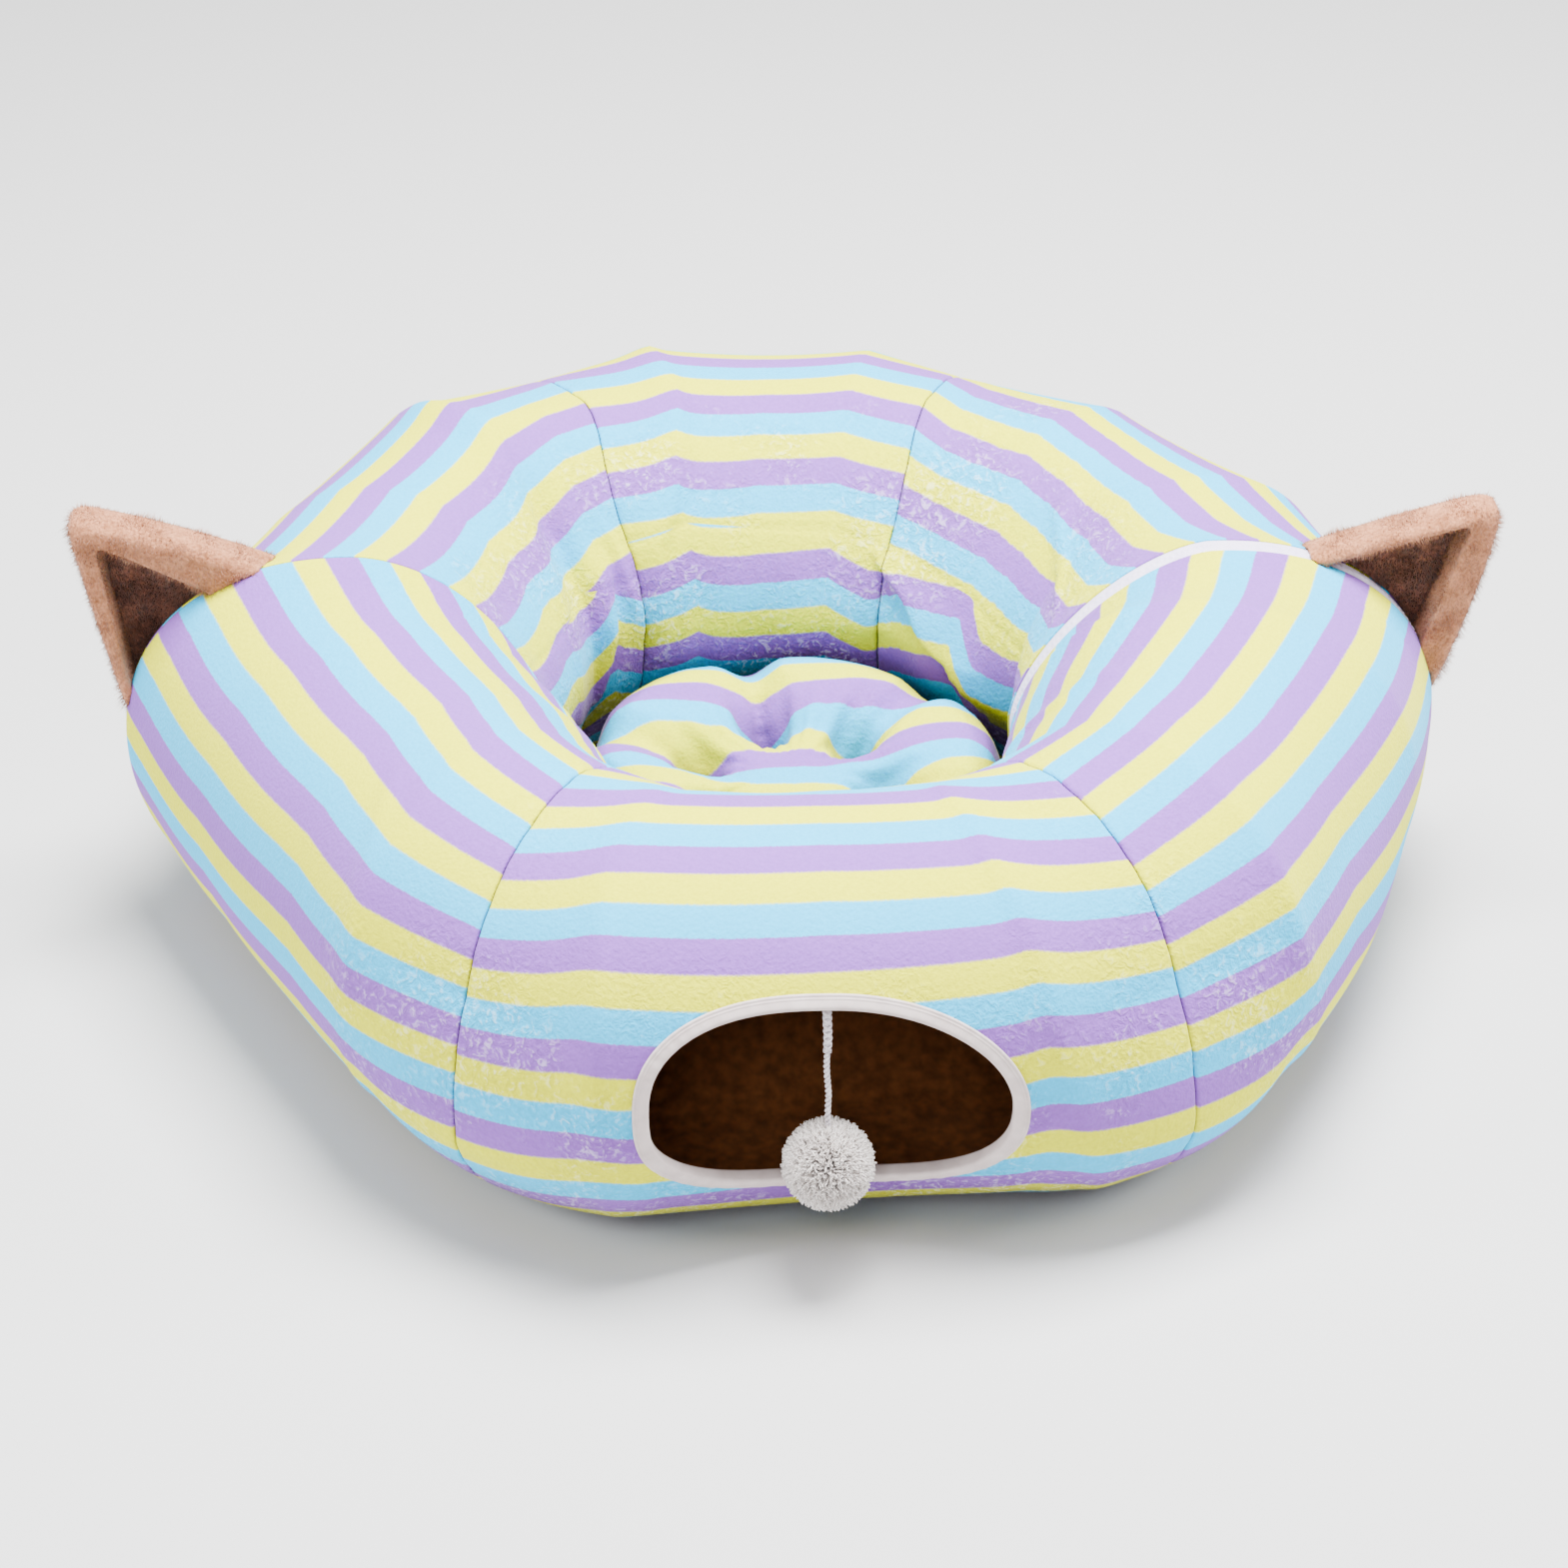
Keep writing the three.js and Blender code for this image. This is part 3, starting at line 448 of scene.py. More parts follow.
lining_cloth = woven_material("Woven polyester lining", "#9A5F30", "#5C3418", 0.0009)
tape = woven_material("Woven cotton binding tape", "#DDCFCD", "#C4B4B2", 0.0010, 0.1)
zip_tape = woven_material("Woven zip tape", "#EDE6FA", "#D5CAEC", 0.0009, 0.2)
ear_plush = pile_material("Light brown plush", "#C88A66", "#8A5638", 500.0, 0.2)
ear_dark = pile_material("Dark brown plush", "#96624E", "#4A2C22", 450.0, 0.2)
cord_yarn = pile_material("Twisted cotton yarn", "#EAE3E8", "#B9AFB8", 900.0, 0.2)
pompom_yarn = pile_material("Cut acrylic yarn", "#F4EEEA", "#D2C8C4", 900.0, 0.4)
print("materials:", [m.name for m in bpy.data.materials if m.users or m.use_nodes])

# %% [markdown]
# ## Cord
# The pompom hangs on a soft twisted cord from the binding's top edge. Its upper part is doubled and
# plaited into a thicker strand. The cord is two yarns wound round each other along the route.

# %% Cord route
CORD_ROUTE = np.array([
    (-1.7, -375.2, 184.5), (-1.6, -376.1, 178.8), (-1.4, -377.0, 173.0), (-1.3, -377.9, 167.4),
    (-1.5, -378.8, 161.8), (-1.9, -379.6, 156.2), (-2.2, -380.4, 150.6), (-2.1, -381.3, 144.9),
    (-1.7, -382.0, 139.7), (-1.3, -382.8, 134.5), (-1.2, -383.5, 129.2), (-1.5, -384.3, 124.0),
    (-1.7, -385.1, 118.8), (-1.7, -385.9, 113.5), (-1.7, -386.7, 108.3),
]) / 1000
PLAIT_END = 0.34      # share of the cord's length that is plaited
cord_length = float(np.linalg.norm(np.diff(CORD_ROUTE, axis=0), axis=1).sum())


def on_route(share):
    """Points of the cord's middle line at shares of its length, and its direction there."""
    lengths = np.r_[0, np.linalg.norm(np.diff(CORD_ROUTE, axis=0), axis=1).cumsum()] / cord_length
    at = lambda s: np.stack([np.interp(s, lengths, CORD_ROUTE[:, k]) for k in range(3)], -1)
    direction = at(np.clip(share + 0.01, 0, 1)) - at(np.clip(share - 0.01, 0, 1))
    return at(share), direction / np.linalg.norm(direction, axis=1, keepdims=True)


def tubes(name, paths, radius, sides=8):
    """Closed round tubes along paths, all in one mesh; radius may change along each path."""
    points, faces = [], []
    for path, thick in zip(paths, radius):
        tangent = np.gradient(path, axis=0)
        tangent /= np.linalg.norm(tangent, axis=1, keepdims=True)
        start = np.cross(tangent, np.array([0.31, 0.2, 0.93]))
        one = start / np.linalg.norm(start, axis=1, keepdims=True)
        two = np.cross(tangent, one)
        angle = np.arange(sides) * 2 * math.pi / sides
        circle = np.cos(angle)[:, None] * one[:, None] + np.sin(angle)[:, None] * two[:, None]
        base = sum(len(block) for block in points)
        points.append((path[:, None] + circle * np.broadcast_to(thick, len(path))[:, None,
            None]).reshape(-1, 3))
        quads, _ = grid(len(path), sides, base, wrap=True)
        faces += quads[:, ::-1].tolist()
        last = base + (len(path) - 1) * sides
        faces += [list(range(base, base + sides)), list(range(last + sides - 1, last - 1, -1))]
    return mesh_piece(name, np.concatenate(points), faces)


def wound(first, last, pitch, offset, phase, steps):
    """A yarn wound round the route: a helix of that pitch and offset from its middle."""
    share = np.linspace(first, last, steps)
    middle, direction = on_route(share)
    side = np.cross(direction, [0.0, 1.0, 0.0])
    side /= np.linalg.norm(side, axis=1, keepdims=True)
    angle = (2 * math.pi * share * cord_length / pitch + phase)[:, None]
    return middle + offset * (np.cos(angle) * side + np.sin(angle) * np.cross(direction, side))


yarns = [wound(0, 1, 0.0065, 0.00092, phase, 260) for phase in (0, math.pi)]
cord = tubes("pompom_cord_yarns", yarns, [0.00098] * 2)
dress(cord, cord_yarn, "cord", "pompom_cord")

strands = [wound(0.005, PLAIT_END, 0.0085 * sign, 0.0019, phase, 110)
           for sign in (1, -1) for phase in (0, math.pi)]
taper = np.linspace(1.15, 0.75, 110) * 0.00085
plait = tubes("cord_plait", strands, [taper] * 4)
dress(plait, cord_yarn, "cord")

# %% [markdown]
# ## Stripes on the panels
# Each panel was cut with its stripes along the tunnel. They run straight over a panel, kink where a
# wire bends the cloth and break at the seams. The table has a row for each seam and wire. It says where
# a blue stripe starts, in millimetres of cloth inwards from the crown line: at the places of LEVELS
# down to the lengthwise seam on the cushion's side, and then under that seam. Whole repeats of 60 mm
# more or less make no difference.

# %% Where the stripes lie
LEVELS = [-210, -60, 20, 110]     # mm of cloth inwards from the crown line
STRIPES = {
    # turn, start low outside, high outside, inside the crown, on the lip, under the seam
    "front_panel": [
        (-32, 14, -4, -8, -18, 0), (-19, 28, 34, 38, 42, 0), (0, 30, 38, 40, 48, 0),
        (18, 38, 34, 36, 38, 0), (31, 28, 4, -6, -18, 0)],
    "front_left_panel": [
        (-92, -4, 4, 8, 8, 0), (-76, 6, 12, 8, 8, 0), (-56, 16, 14, 12, 16, 0),
        (-44, 4, 4, 2, 6, 0), (-32, 20, 0, -6, -18, 0)],
    "front_right_panel": [
        (31, 26, -2, -6, -8, 0), (43, 12, 10, 4, 2, 0), (56, 20, 0, -6, -10, 0),
        (76, -6, -10, -16, -20, 0), (91, -30, -30, -24, -16, 0)],
    "back_right_panel": [
        (91, -14, -14, -8, -6, -8), (113, 14, 14, 10, 4, 6), (127, 0, 0, -4, -8, 0),
        (136, -6, -6, -4, -4, -20), (150, -24, -24, -16, -20, -24), (155.5, -42, -42, -28, -22, -20)],
    "back_panel": [
        (155.5, 20, 20, 32, 26, 42), (167, 38, 38, 40, 36, 42), (180, 40, 40, 40, 36, 44),
        (193, 42, 42, 48, 50, 56), (208.5, 14, 14, 34, 26, 40)],
    "back_left_panel": [
        (208.5, 16, 16, 28, 26, 42), (216, 32, 32, 32, 30, 30), (224, 46, 46, 48, 48, 56),
        (240, 48, 48, 46, 40, 40), (268, 44, 44, 46, 54, 54)],
}
SEAM_AROUND = [   # (turn, around): how the lengthwise seam wanders on the cushion's side
    (-92, 150), (91, 169), (111, 166), (121, 161), (143, 151), (156, 147), (208.4, 146), (208.6,
        158), (268, 158)]
REPEATS = 13              # stripe repeats round the whole tunnel


def across_stripes(name, turn, face):
    """Metres of cloth across the stripes from the start of a blue one, for each point of a panel.
    The length of cloth is measured round the tunnel from the crown line, and the table's start is
    taken off it. Under the tunnel it passes over evenly into the start under the seam."""
    steps = np.linalg.norm(np.diff(face, axis=1), axis=2) * 1000
    length = np.concatenate([np.zeros((len(turn), 1)), steps.cumsum(1)], 1)
    crown = [np.interp(seam_around(t) - 90, 360 * SHARES, row) for t, row in zip(turn, length)]
    inwards = np.array(crown)[:, None] - length
    table = np.array(STRIPES[name], float)
    starts = np.stack([np.interp(turn, table[:, 0], table[:, k]) for k in range(1, table.shape[1])])
    out = np.empty_like(inwards)
    for row in range(len(turn)):
        upper = inwards[row] - np.interp(inwards[row], LEVELS, starts[:-1, row])
        under = inwards[row] + length[row, -1] - REPEATS * 60 - starts[-1, row]
        out[row] = upper + (under - upper) * smooth(-inwards[row], 260, 560)
    return out / 1000


print("stripe rows:", sum(len(rows) for rows in STRIPES.values()))

# %% [markdown]
# ## Plush panels
# Six panels make the ring: front, front left, front right, and three at the back. The seams fold the
# edges in, so each panel's face rolls over at its ends into a narrow valley. A lengthwise seam on the
# cushion's side closes the tunnel. The front half has a stitched casing for the end wire at each joint.

# %% Panel tools
SHARES = np.linspace(0, 1, 257)     # of the way round the tunnel, from the lengthwise seam outwards
SKIN = 2.7                # mm from the pile's face to the backing
ROLL = 2.4                # mm over which an edge rolls in


def seam_around(turn):
    """Where the lengthwise seam lies on the cushion's side, as an angle round the tunnel."""
    return np.interp(turn, *np.transpose(SEAM_AROUND))


def edge_roll(distance, radius=ROLL):
    """Depth in mm of an edge that rolls in: a quarter circle of that radius."""
    inside = np.clip(1 - distance / radius, 0, 1)
    return radius * (1 - np.sqrt(1 - inside ** 2)) * 0.9


def turn_rows(start, end, pitch=0.72):
    """Turns from one end to the other, closer together at both ends, where the edge rolls in."""
    rim = np.array([0, 0.06, 0.14, 0.25, 0.4])
    count = int(math.ceil((end - start - 0.8) / pitch / 2)) * 2
    middle = np.linspace(start + 0.6, end - 0.6, count)
    rows = np.r_[start + rim, middle, end - rim[::-1]]
    return rows if len(rows) % 2 else np.insert(rows, len(rim) + 1, (rows[len(rim)] + rows[len(rim) + 1]) / 2)


def tuck(turn, around):
    """Depth in mm by which the seams between panels pull in on the cushion's side."""
    inward = np.maximum(0, -np.cos(np.radians(around))) ** 2
    near = sum(np.clip(1 - np.abs(wrapped(turn - seam)) / 11, 0, 1)
               for seam in (FRONT_LEFT, FRONT_RIGHT, BACK_RIGHT, BACK_LEFT))
    return SEAM_TUCK * near * inward


def slid(turn, start, end, start_slide, end_slide):
    """Slide along the ring, in metres, that moves a panel's ends clear of what they meet."""
    first = start_slide * np.clip(1 - (turn - start) / 11, 0, 1)
    last = end_slide * np.clip(1 - (end - turn) / 11, 0, 1)
    return (first + last)[:, None] / 1000 * along_ring(turn)


def panel(name, start, end, start_slide=GAP / 2, end_slide=-GAP / 2, casing_at=None):
    """One plush panel: a fine outer face, a coarser inner one, and edges that close them."""
    turn = turn_rows(start, end)
    slide = slid(turn, start, end, start_slide, end_slide)
    t = turn[:, None]
    whole = seam_around(t) - 360 * SHARES[None, :]
    a = whole[:, :-1]
    smooth_face = ring(t, whole, tuck(t, whole))
    reach = np.hypot(smooth_face[..., 0], smooth_face[..., 1])[:, :-1]
    rim = np.minimum(t - start, end - t) * math.pi / 180 * reach * 1000
    seam = np.abs(wrapped(a - seam_around(t))) * 2.3
    drawn = edge_roll(rim) + 0.9 * edge_roll(seam, 2.2) * 0.6
    if casing_at is not None:
        from_joint = np.abs(t - casing_at) * math.pi / 180 * reach * 1000
        drawn = drawn + 0.9 * bump(from_joint, 23, 1.4) - 0.5 * bump(from_joint, 11, 9)
    outer = ring(t, a, tuck(t, a) + drawn) + slide[:, None]
    inner_turn = turn[::2]
    inner = ring(t[::2], a[::2, ::2], tuck(t[::2], a[::2, ::2]) + SKIN) + slide[::2, None]
    rows, columns = outer.shape[:2]
    half = columns // 2
    across = across_stripes(name, turn, smooth_face)
    middle = math.radians((start + end) / 2)
    along = smooth_face[..., 0] * math.cos(middle) + smooth_face[..., 1] * math.sin(middle)
    layout = np.stack([along, across], -1).reshape(-1, 2)
    base = rows * columns
    skin, corners = grid(rows, columns, wrap=True)
    back, back_corners = grid(len(inner_turn), half, base, wrap=True)
    coarse = np.stack([along[::2, ::2], across[::2, ::2]], -1).reshape(-1, 2)
    faces = skin.tolist() + back[:, ::-1].tolist()
    layouts = [layout[corners].reshape(-1, 2), coarse[back_corners[:, ::-1]].reshape(-1, 2)]
    k = np.arange(half)
    for row, back_row, flip in ((0, 0, False), (rows - 1, len(inner_turn) - 1, True)):
        o = row * columns
        b = base + back_row * half
        trio = [o + 2 * k, o + 2 * k + 1, o + (2 * k + 2) % columns, b + k, b + (k + 1) % half]
        strips = np.concatenate([np.stack([trio[0], trio[1], trio[3]], 1),
                                 np.stack([trio[1], trio[4], trio[3]], 1),
                                 np.stack([trio[1], trio[2], trio[4]], 1)])
        flat = np.full((len(strips) * 3, 2), [0.0, 0.01])
        faces += (strips if flip else strips[:, ::-1]).tolist()
        layouts.append(flat)
    points = np.concatenate([outer.reshape(-1, 3), inner.reshape(-1, 3)])
    piece = mesh_piece(name + "_plush", points, faces, layouts)
    mark_slack(piece, looseness(np.degrees(np.arctan2(points[:, 0], -points[:, 1])), points))
    one = smooth_face[1:, 1:] - smooth_face[:-1, :-1]
    two = smooth_face[1:, :-1] - smooth_face[:-1, 1:]
    area = float(np.linalg.norm(np.cross(one, two), axis=-1).sum() / 2)
    return piece, area


def looseness(turn, points):
    """How slack and ruffled the cloth is: on the cushion's side, low in front and beside the seams. The
    material mottles the pile and mixes in its painted glints there.
    """
    reach, height = np.hypot(points[:, 0], points[:, 1]), points[:, 2]
    inside = 1 - smooth(reach, 0.215, 0.27)
    back = inside * (0.35 + 0.65 * smooth(-np.cos(np.radians(turn)), -0.3, 0.2))
    front = smooth(np.cos(np.radians(turn)), 0.55, 0.8) * (1 - smooth(height, 0.15, 0.24)) * smooth(reach,
        0.28, 0.33)
    seams = sum(bump(wrapped(turn - seam), 0, 7) * weight for seam, weight in (
        (FRONT_LEFT, 0.35), (FRONT_RIGHT, 0.5), (BACK_RIGHT - 14, 0.8), (BACK_LEFT, 0.3)))
    return np.clip(0.08 + 0.75 * back + 0.9 * front + seams * 0.7, 0, 1)


def face_outwards(piece):
    """Turn every face of a closed piece outwards."""
    shape = bmesh.new()
    shape.from_mesh(piece.data)
    bmesh.ops.recalc_face_normals(shape, faces=shape.faces)
    shape.to_mesh(piece.data)
    shape.free()


# %% [markdown]
# ### Cat hole
# The hole is a wide, slightly uneven oval through the front panel and the lining. A prism of that
# outline cuts both, as scissors would, before the tape binds the edge.

# %% Cat hole outline
HOLE = {"x": 0.5, "z": 121.7, "half_width": 105.8, "half_height": 64.6, "rise": -0.058}
QUARTERS = np.array([2.15, 2.6, 2.6, 2.3])     # squareness of each quarter, from the upper right one
CUT_SETBACK = 1.9


def hole_outline(share, grow=0.0):
    """Outline of the hole as x and z in metres, at shares of a turn from its right-hand end."""
    share = np.asarray(share) % 1
    angle = share * 2 * math.pi
    power = 2 / QUARTERS[np.floor(share * 4).astype(int) % 4]
    shape = lambda value: np.sign(value) * np.abs(value) ** power
    x = (HOLE["half_width"] + grow) * shape(np.cos(angle))
    z = (HOLE["half_height"] + grow) * shape(np.sin(angle))
    return np.stack([HOLE["x"] + x, HOLE["z"] + z + HOLE["rise"] * x], -1) / 1000


def cut_hole(piece):
    """Cut the cat hole through a piece."""
    steps = 160
    outline = hole_outline(np.arange(steps) / steps, CUT_SETBACK)
    rings = [np.stack([outline[:, 0], np.full(steps, y), outline[:, 1]], -1) for y in (-0.46, -0.27)]
    quads, _ = grid(2, steps, wrap=True)
    faces = quads.tolist() + [list(range(steps)), list(range(2 * steps - 1, steps - 1, -1))]
    layout = [np.zeros((len(quads) * 4 + 2 * steps, 2))]
    prism = mesh_piece("hole_cutter", np.concatenate(rings), faces, layout)
    face_outwards(prism)
    modifier = piece.modifiers.new("Cat hole", "BOOLEAN")
    modifier.object, modifier.operation, modifier.solver = prism, "DIFFERENCE", "EXACT"
    apply_modifier(piece, modifier)
    bpy.data.objects.remove(prism)


# %% Panels
PANELS = [
    # name, start, end, start slide, end slide, casing
    ("front_panel", FRONT_LEFT, FRONT_RIGHT, GAP / 2, -GAP / 2, None),
    ("front_left_panel", LEFT_END, FRONT_LEFT, 0.0, -GAP / 2, LEFT_END),
    ("front_right_panel", FRONT_RIGHT, RIGHT_END, GAP / 2, 0.0, RIGHT_END),
    ("back_right_panel", RIGHT_END, BACK_RIGHT, ZIP_WIDTH + 2 * GAP, -GAP / 2, None),
    ("back_panel", BACK_RIGHT, BACK_LEFT, GAP / 2, -GAP / 2, None),
    ("back_left_panel", BACK_LEFT, LEFT_END + 360, GAP / 2, -GAP, None),
]
panels = {}
for name, start, end, start_slide, end_slide, casing_at in PANELS:
    piece, area = panel(name, start, end, start_slide, end_slide, casing_at)
    face_outwards(piece)
    if name == "front_panel":
        cut_hole(piece)
        area -= math.pi * 0.106 * 0.065 * 1.05
    dress(piece, plush, "plush", name)
    panels[name] = (piece, area)
    print(f"{name}: {area:.3f} square metres")

# %% [markdown]
# ## Lining
# Only the front half is lined, with thin brown woven cloth that shows through the cat hole.

# %% Lining
LINING_COLUMNS = 90       # points once round the tunnel


def lining_sheet():
    """The lining: a thin closed sheet right behind the front half's plush."""
    turn = np.linspace(LEFT_END + 0.3, RIGHT_END - 0.3, 93)
    around = np.arange(LINING_COLUMNS) * 360 / LINING_COLUMNS
    t, a = turn[:, None], around[None, :]
    outer = ring(t, a, tuck(t, a) + 3.35)
    inner = ring(t, a, tuck(t, a) + 4.15)
    base = outer.shape[0] * outer.shape[1]
    skin, _ = grid(len(turn), len(around), wrap=True)
    back, _ = grid(len(turn), len(around), base, wrap=True)
    faces = skin.tolist() + back[:, ::-1].tolist()
    k = np.arange(len(around))
    for row in (0, len(turn) - 1):
        o = row * len(around)
        following = o + (k + 1) % LINING_COLUMNS
        faces += np.stack([o + k, following, base + following, base + o + k], 1).tolist()
    points = np.concatenate([outer.reshape(-1, 3), inner.reshape(-1, 3)])
    flat = np.stack(np.broadcast_arrays(np.radians(t) * 0.3, np.radians(a) * 0.13), -1).reshape(-1, 2)
    flat = np.concatenate([flat, flat])
    layout = [flat[np.array(faces).ravel()]]
    return mesh_piece("lining_cloth", points, faces, layout)


lining = lining_sheet()
face_outwards(lining)
cut_hole(lining)
dress(lining, lining_cloth, "lining", "lining")

# %% [markdown]
# ## Binding
# A folded tape binds the cut edge of the hole. It lies flat on the plush with two fine ribs where it
# is stitched, folds over the edge, and its end laps over its start at the right.

# %% Binding
BINDING = np.array([
    # out from the hole, up off the plush
    (8.0, 0.35), (8.0, 0.9), (7.6, 1.3), (7.0, 1.55), (6.5, 1.4), (6.0, 1.2), (5.5, 1.45), (5.0,
        1.75), (4.5, 1.5),
    (4.0, 1.55), (2.5, 1.8), (1.0, 1.95), (0.0, 1.95), (-1.0, 1.6), (-1.7, 0.8), (-1.9, -0.2), (-1.9, -5.0),
    (-1.6, -6.0), (-0.8, -6.4), (6.4, -6.4), (6.4, -4.7), (-0.3, -4.7), (-0.3, 0.35),
])


def on_face(flat):
    """Points of the front panel's face straight behind x and z places, found by bisection."""
    x, z = flat[:, 0] * 1000, flat[:, 1] * 1000
    turn, around = np.degrees(np.arctan2(x,
                                         380.0)), np.degrees(np.arcsin(np.clip((z - 125) / 130, -0.97,
                                             0.97)))
    for _ in range(40):
        found = ring(turn, around, folded=False) * 1000
        turn = turn + (x - found[:, 0]) / 380 * 57.3 * 0.8
        around = around + np.clip((z - found[:, 2]) / 125 * 57.3, -6, 6) * 0.7
    return ring(turn, around)


def binding_tape():
    """The tape: its section carried round the cut edge."""
    steps = 300
    share = np.arange(steps) / steps
    edge, outer = on_face(hole_outline(share, CUT_SETBACK)), on_face(hole_outline(share, CUT_SETBACK + 8))
    ahead, behind = on_face(hole_outline(share + 0.004, CUT_SETBACK)), on_face(hole_outline(share - 0.004,
        CUT_SETBACK))
    away, along = outer - edge, ahead - behind
    away /= np.linalg.norm(away, axis=1, keepdims=True)
    off = np.cross(away, along)
    off /= np.linalg.norm(off, axis=1, keepdims=True)
    lap = smooth(share, 0.0, 0.003) * (1 - smooth(share, 0.022, 0.026)) * 0.5
    pucker = 0.12 * np.sin(share * 2 * math.pi * 61) + 0.08 * np.sin(share * 2 * math.pi * 37 + 1)
    up = BINDING[None, :, 1] + (lap + pucker)[:, None] * (BINDING[None, :, 1] > 0.5)
    points = edge[:, None] + (away[:, None] * BINDING[None, :, :1] + off[:, None] * up[..., None]) / 1000
    faces, _ = grid(steps + 1, len(BINDING), wrap=True)
    faces = faces % (steps * len(BINDING))
    track = np.r_[0, np.linalg.norm(np.diff(edge, axis=0), axis=1).cumsum()]
    girth = np.r_[0, np.linalg.norm(np.diff(BINDING, axis=0), axis=1).cumsum()] / 1000
    flat = np.stack(np.broadcast_arrays(track[:, None], girth[None, :]), -1).reshape(-1, 2)
    return mesh_piece("binding_tape", points.reshape(-1, 3), faces.tolist(), [flat[faces].reshape(-1, 2)])


binding = binding_tape()
face_outwards(binding)
dress(binding, tape, "binding", "hole_binding")

# %% [markdown]
# ## Zip
# The halves are joined on the right by a zip that runs round the tunnel. Its tape shows as a pale band
# behind the front half's edge, with the closed coil along its middle.

# %% Zip
ZIP_COLUMNS = 720         # points once round the tunnel
ZIP_ROWS = 13             # points across the tape


def zip_band():
    """The zip: a band of tape round the tunnel with the coil's teeth along its middle."""
    around = np.arange(ZIP_COLUMNS) * 360 / ZIP_COLUMNS
    rows = np.linspace(0, 1, ZIP_ROWS)
    coil = bump(rows, 0.5, 0.11)
    teeth = 0.55 + 0.45 * np.sign(np.sin(np.radians(around * 360 / 2)))
    depth = 1.3 - coil[:, None] * teeth[None, :] * 0.9 + 1.2 * edge_roll(rows * ZIP_WIDTH, 0.8)[:, None]
    slide = (GAP + ZIP_WIDTH * rows)[:, None, None] / 1000 * along_ring(RIGHT_END)
    face = ring(RIGHT_END, around[None, :], depth) + slide
    back = ring(RIGHT_END, around[None, :], np.full_like(depth, 2.6)) + slide
    count = face.shape[0] * face.shape[1]
    skin, _ = grid(ZIP_ROWS, ZIP_COLUMNS, wrap=True)
    faces = skin.tolist() + (skin[:, ::-1] + count).tolist()
    k = np.arange(ZIP_COLUMNS)
    for row in (0, ZIP_ROWS - 1):
        o = row * ZIP_COLUMNS
        following = o + (k + 1) % ZIP_COLUMNS
        faces += np.stack([o + k, following, count + following, count + o + k], 1).tolist()
    points = np.concatenate([face.reshape(-1, 3), back.reshape(-1, 3)])
    flat = np.stack(np.broadcast_arrays((rows * ZIP_WIDTH / 1000)[:, None],
                                        np.radians(around)[None, :] * 0.13), -1)
    flat = np.tile(flat.reshape(-1, 2), (2, 1))
    return mesh_piece("zip_tape", points, faces, [flat[np.array(faces).ravel()]])


zip_piece = zip_band()
face_outwards(zip_piece)
dress(zip_piece, zip_tape, "zip", "zip")

# %% [markdown]
# ## Soft copies
# The ears and the cushion start from the frame's own solids: a copy is merged, remeshed into small
# even faces and smoothed, so that it keeps its place and its seat on the ring.

# %% Soft copy
def soft_copy(node, name, voxel, rounds):
    """A remeshed and smoothed copy of a CAD node."""
    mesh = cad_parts[node].data.copy()
    mesh.name = name
    piece = bpy.data.objects.new(name, mesh)
    bpy.context.scene.collection.objects.link(piece)
    shape = bmesh.new()
    shape.from_mesh(mesh)
    bmesh.ops.remove_doubles(shape, verts=shape.verts, dist=1e-5)
    shape.to_mesh(mesh)
    shape.free()
    remesh = piece.modifiers.new("Even faces", "REMESH")
    remesh.mode, remesh.voxel_size = "VOXEL", voxel
    apply_modifier(piece, remesh)
    relax = piece.modifiers.new("Relax", "SMOOTH")
    relax.factor, relax.iterations = 0.5, rounds
    apply_modifier(piece, relax)
    piece.data.polygons.foreach_set("use_smooth", np.full(len(piece.data.polygons), True))
    return piece


def vertex_array(piece):
    """Vertices and their normals as arrays."""
    count = len(piece.data.vertices)
    points, normals = np.empty(count * 3), np.empty(count * 3)
    piece.data.vertices.foreach_get("co", points)
    piece.data.vertices.foreach_get("normal", normals)
    return points.reshape(-1, 3), normals.reshape(-1, 3)


def set_vertices(piece, points):
    """Move a piece's vertices to new places."""
    piece.data.vertices.foreach_set("co", points.astype(np.float32).ravel())
    piece.data.update()


# %% [markdown]
# ## Ears
# Each ear is a padded triangle of light brown plush, sewn on over the joint, with a hollow front lined
# in dark brown. Short fur stands off it: thin tapered hairs, rooted on its surface and leaning over.

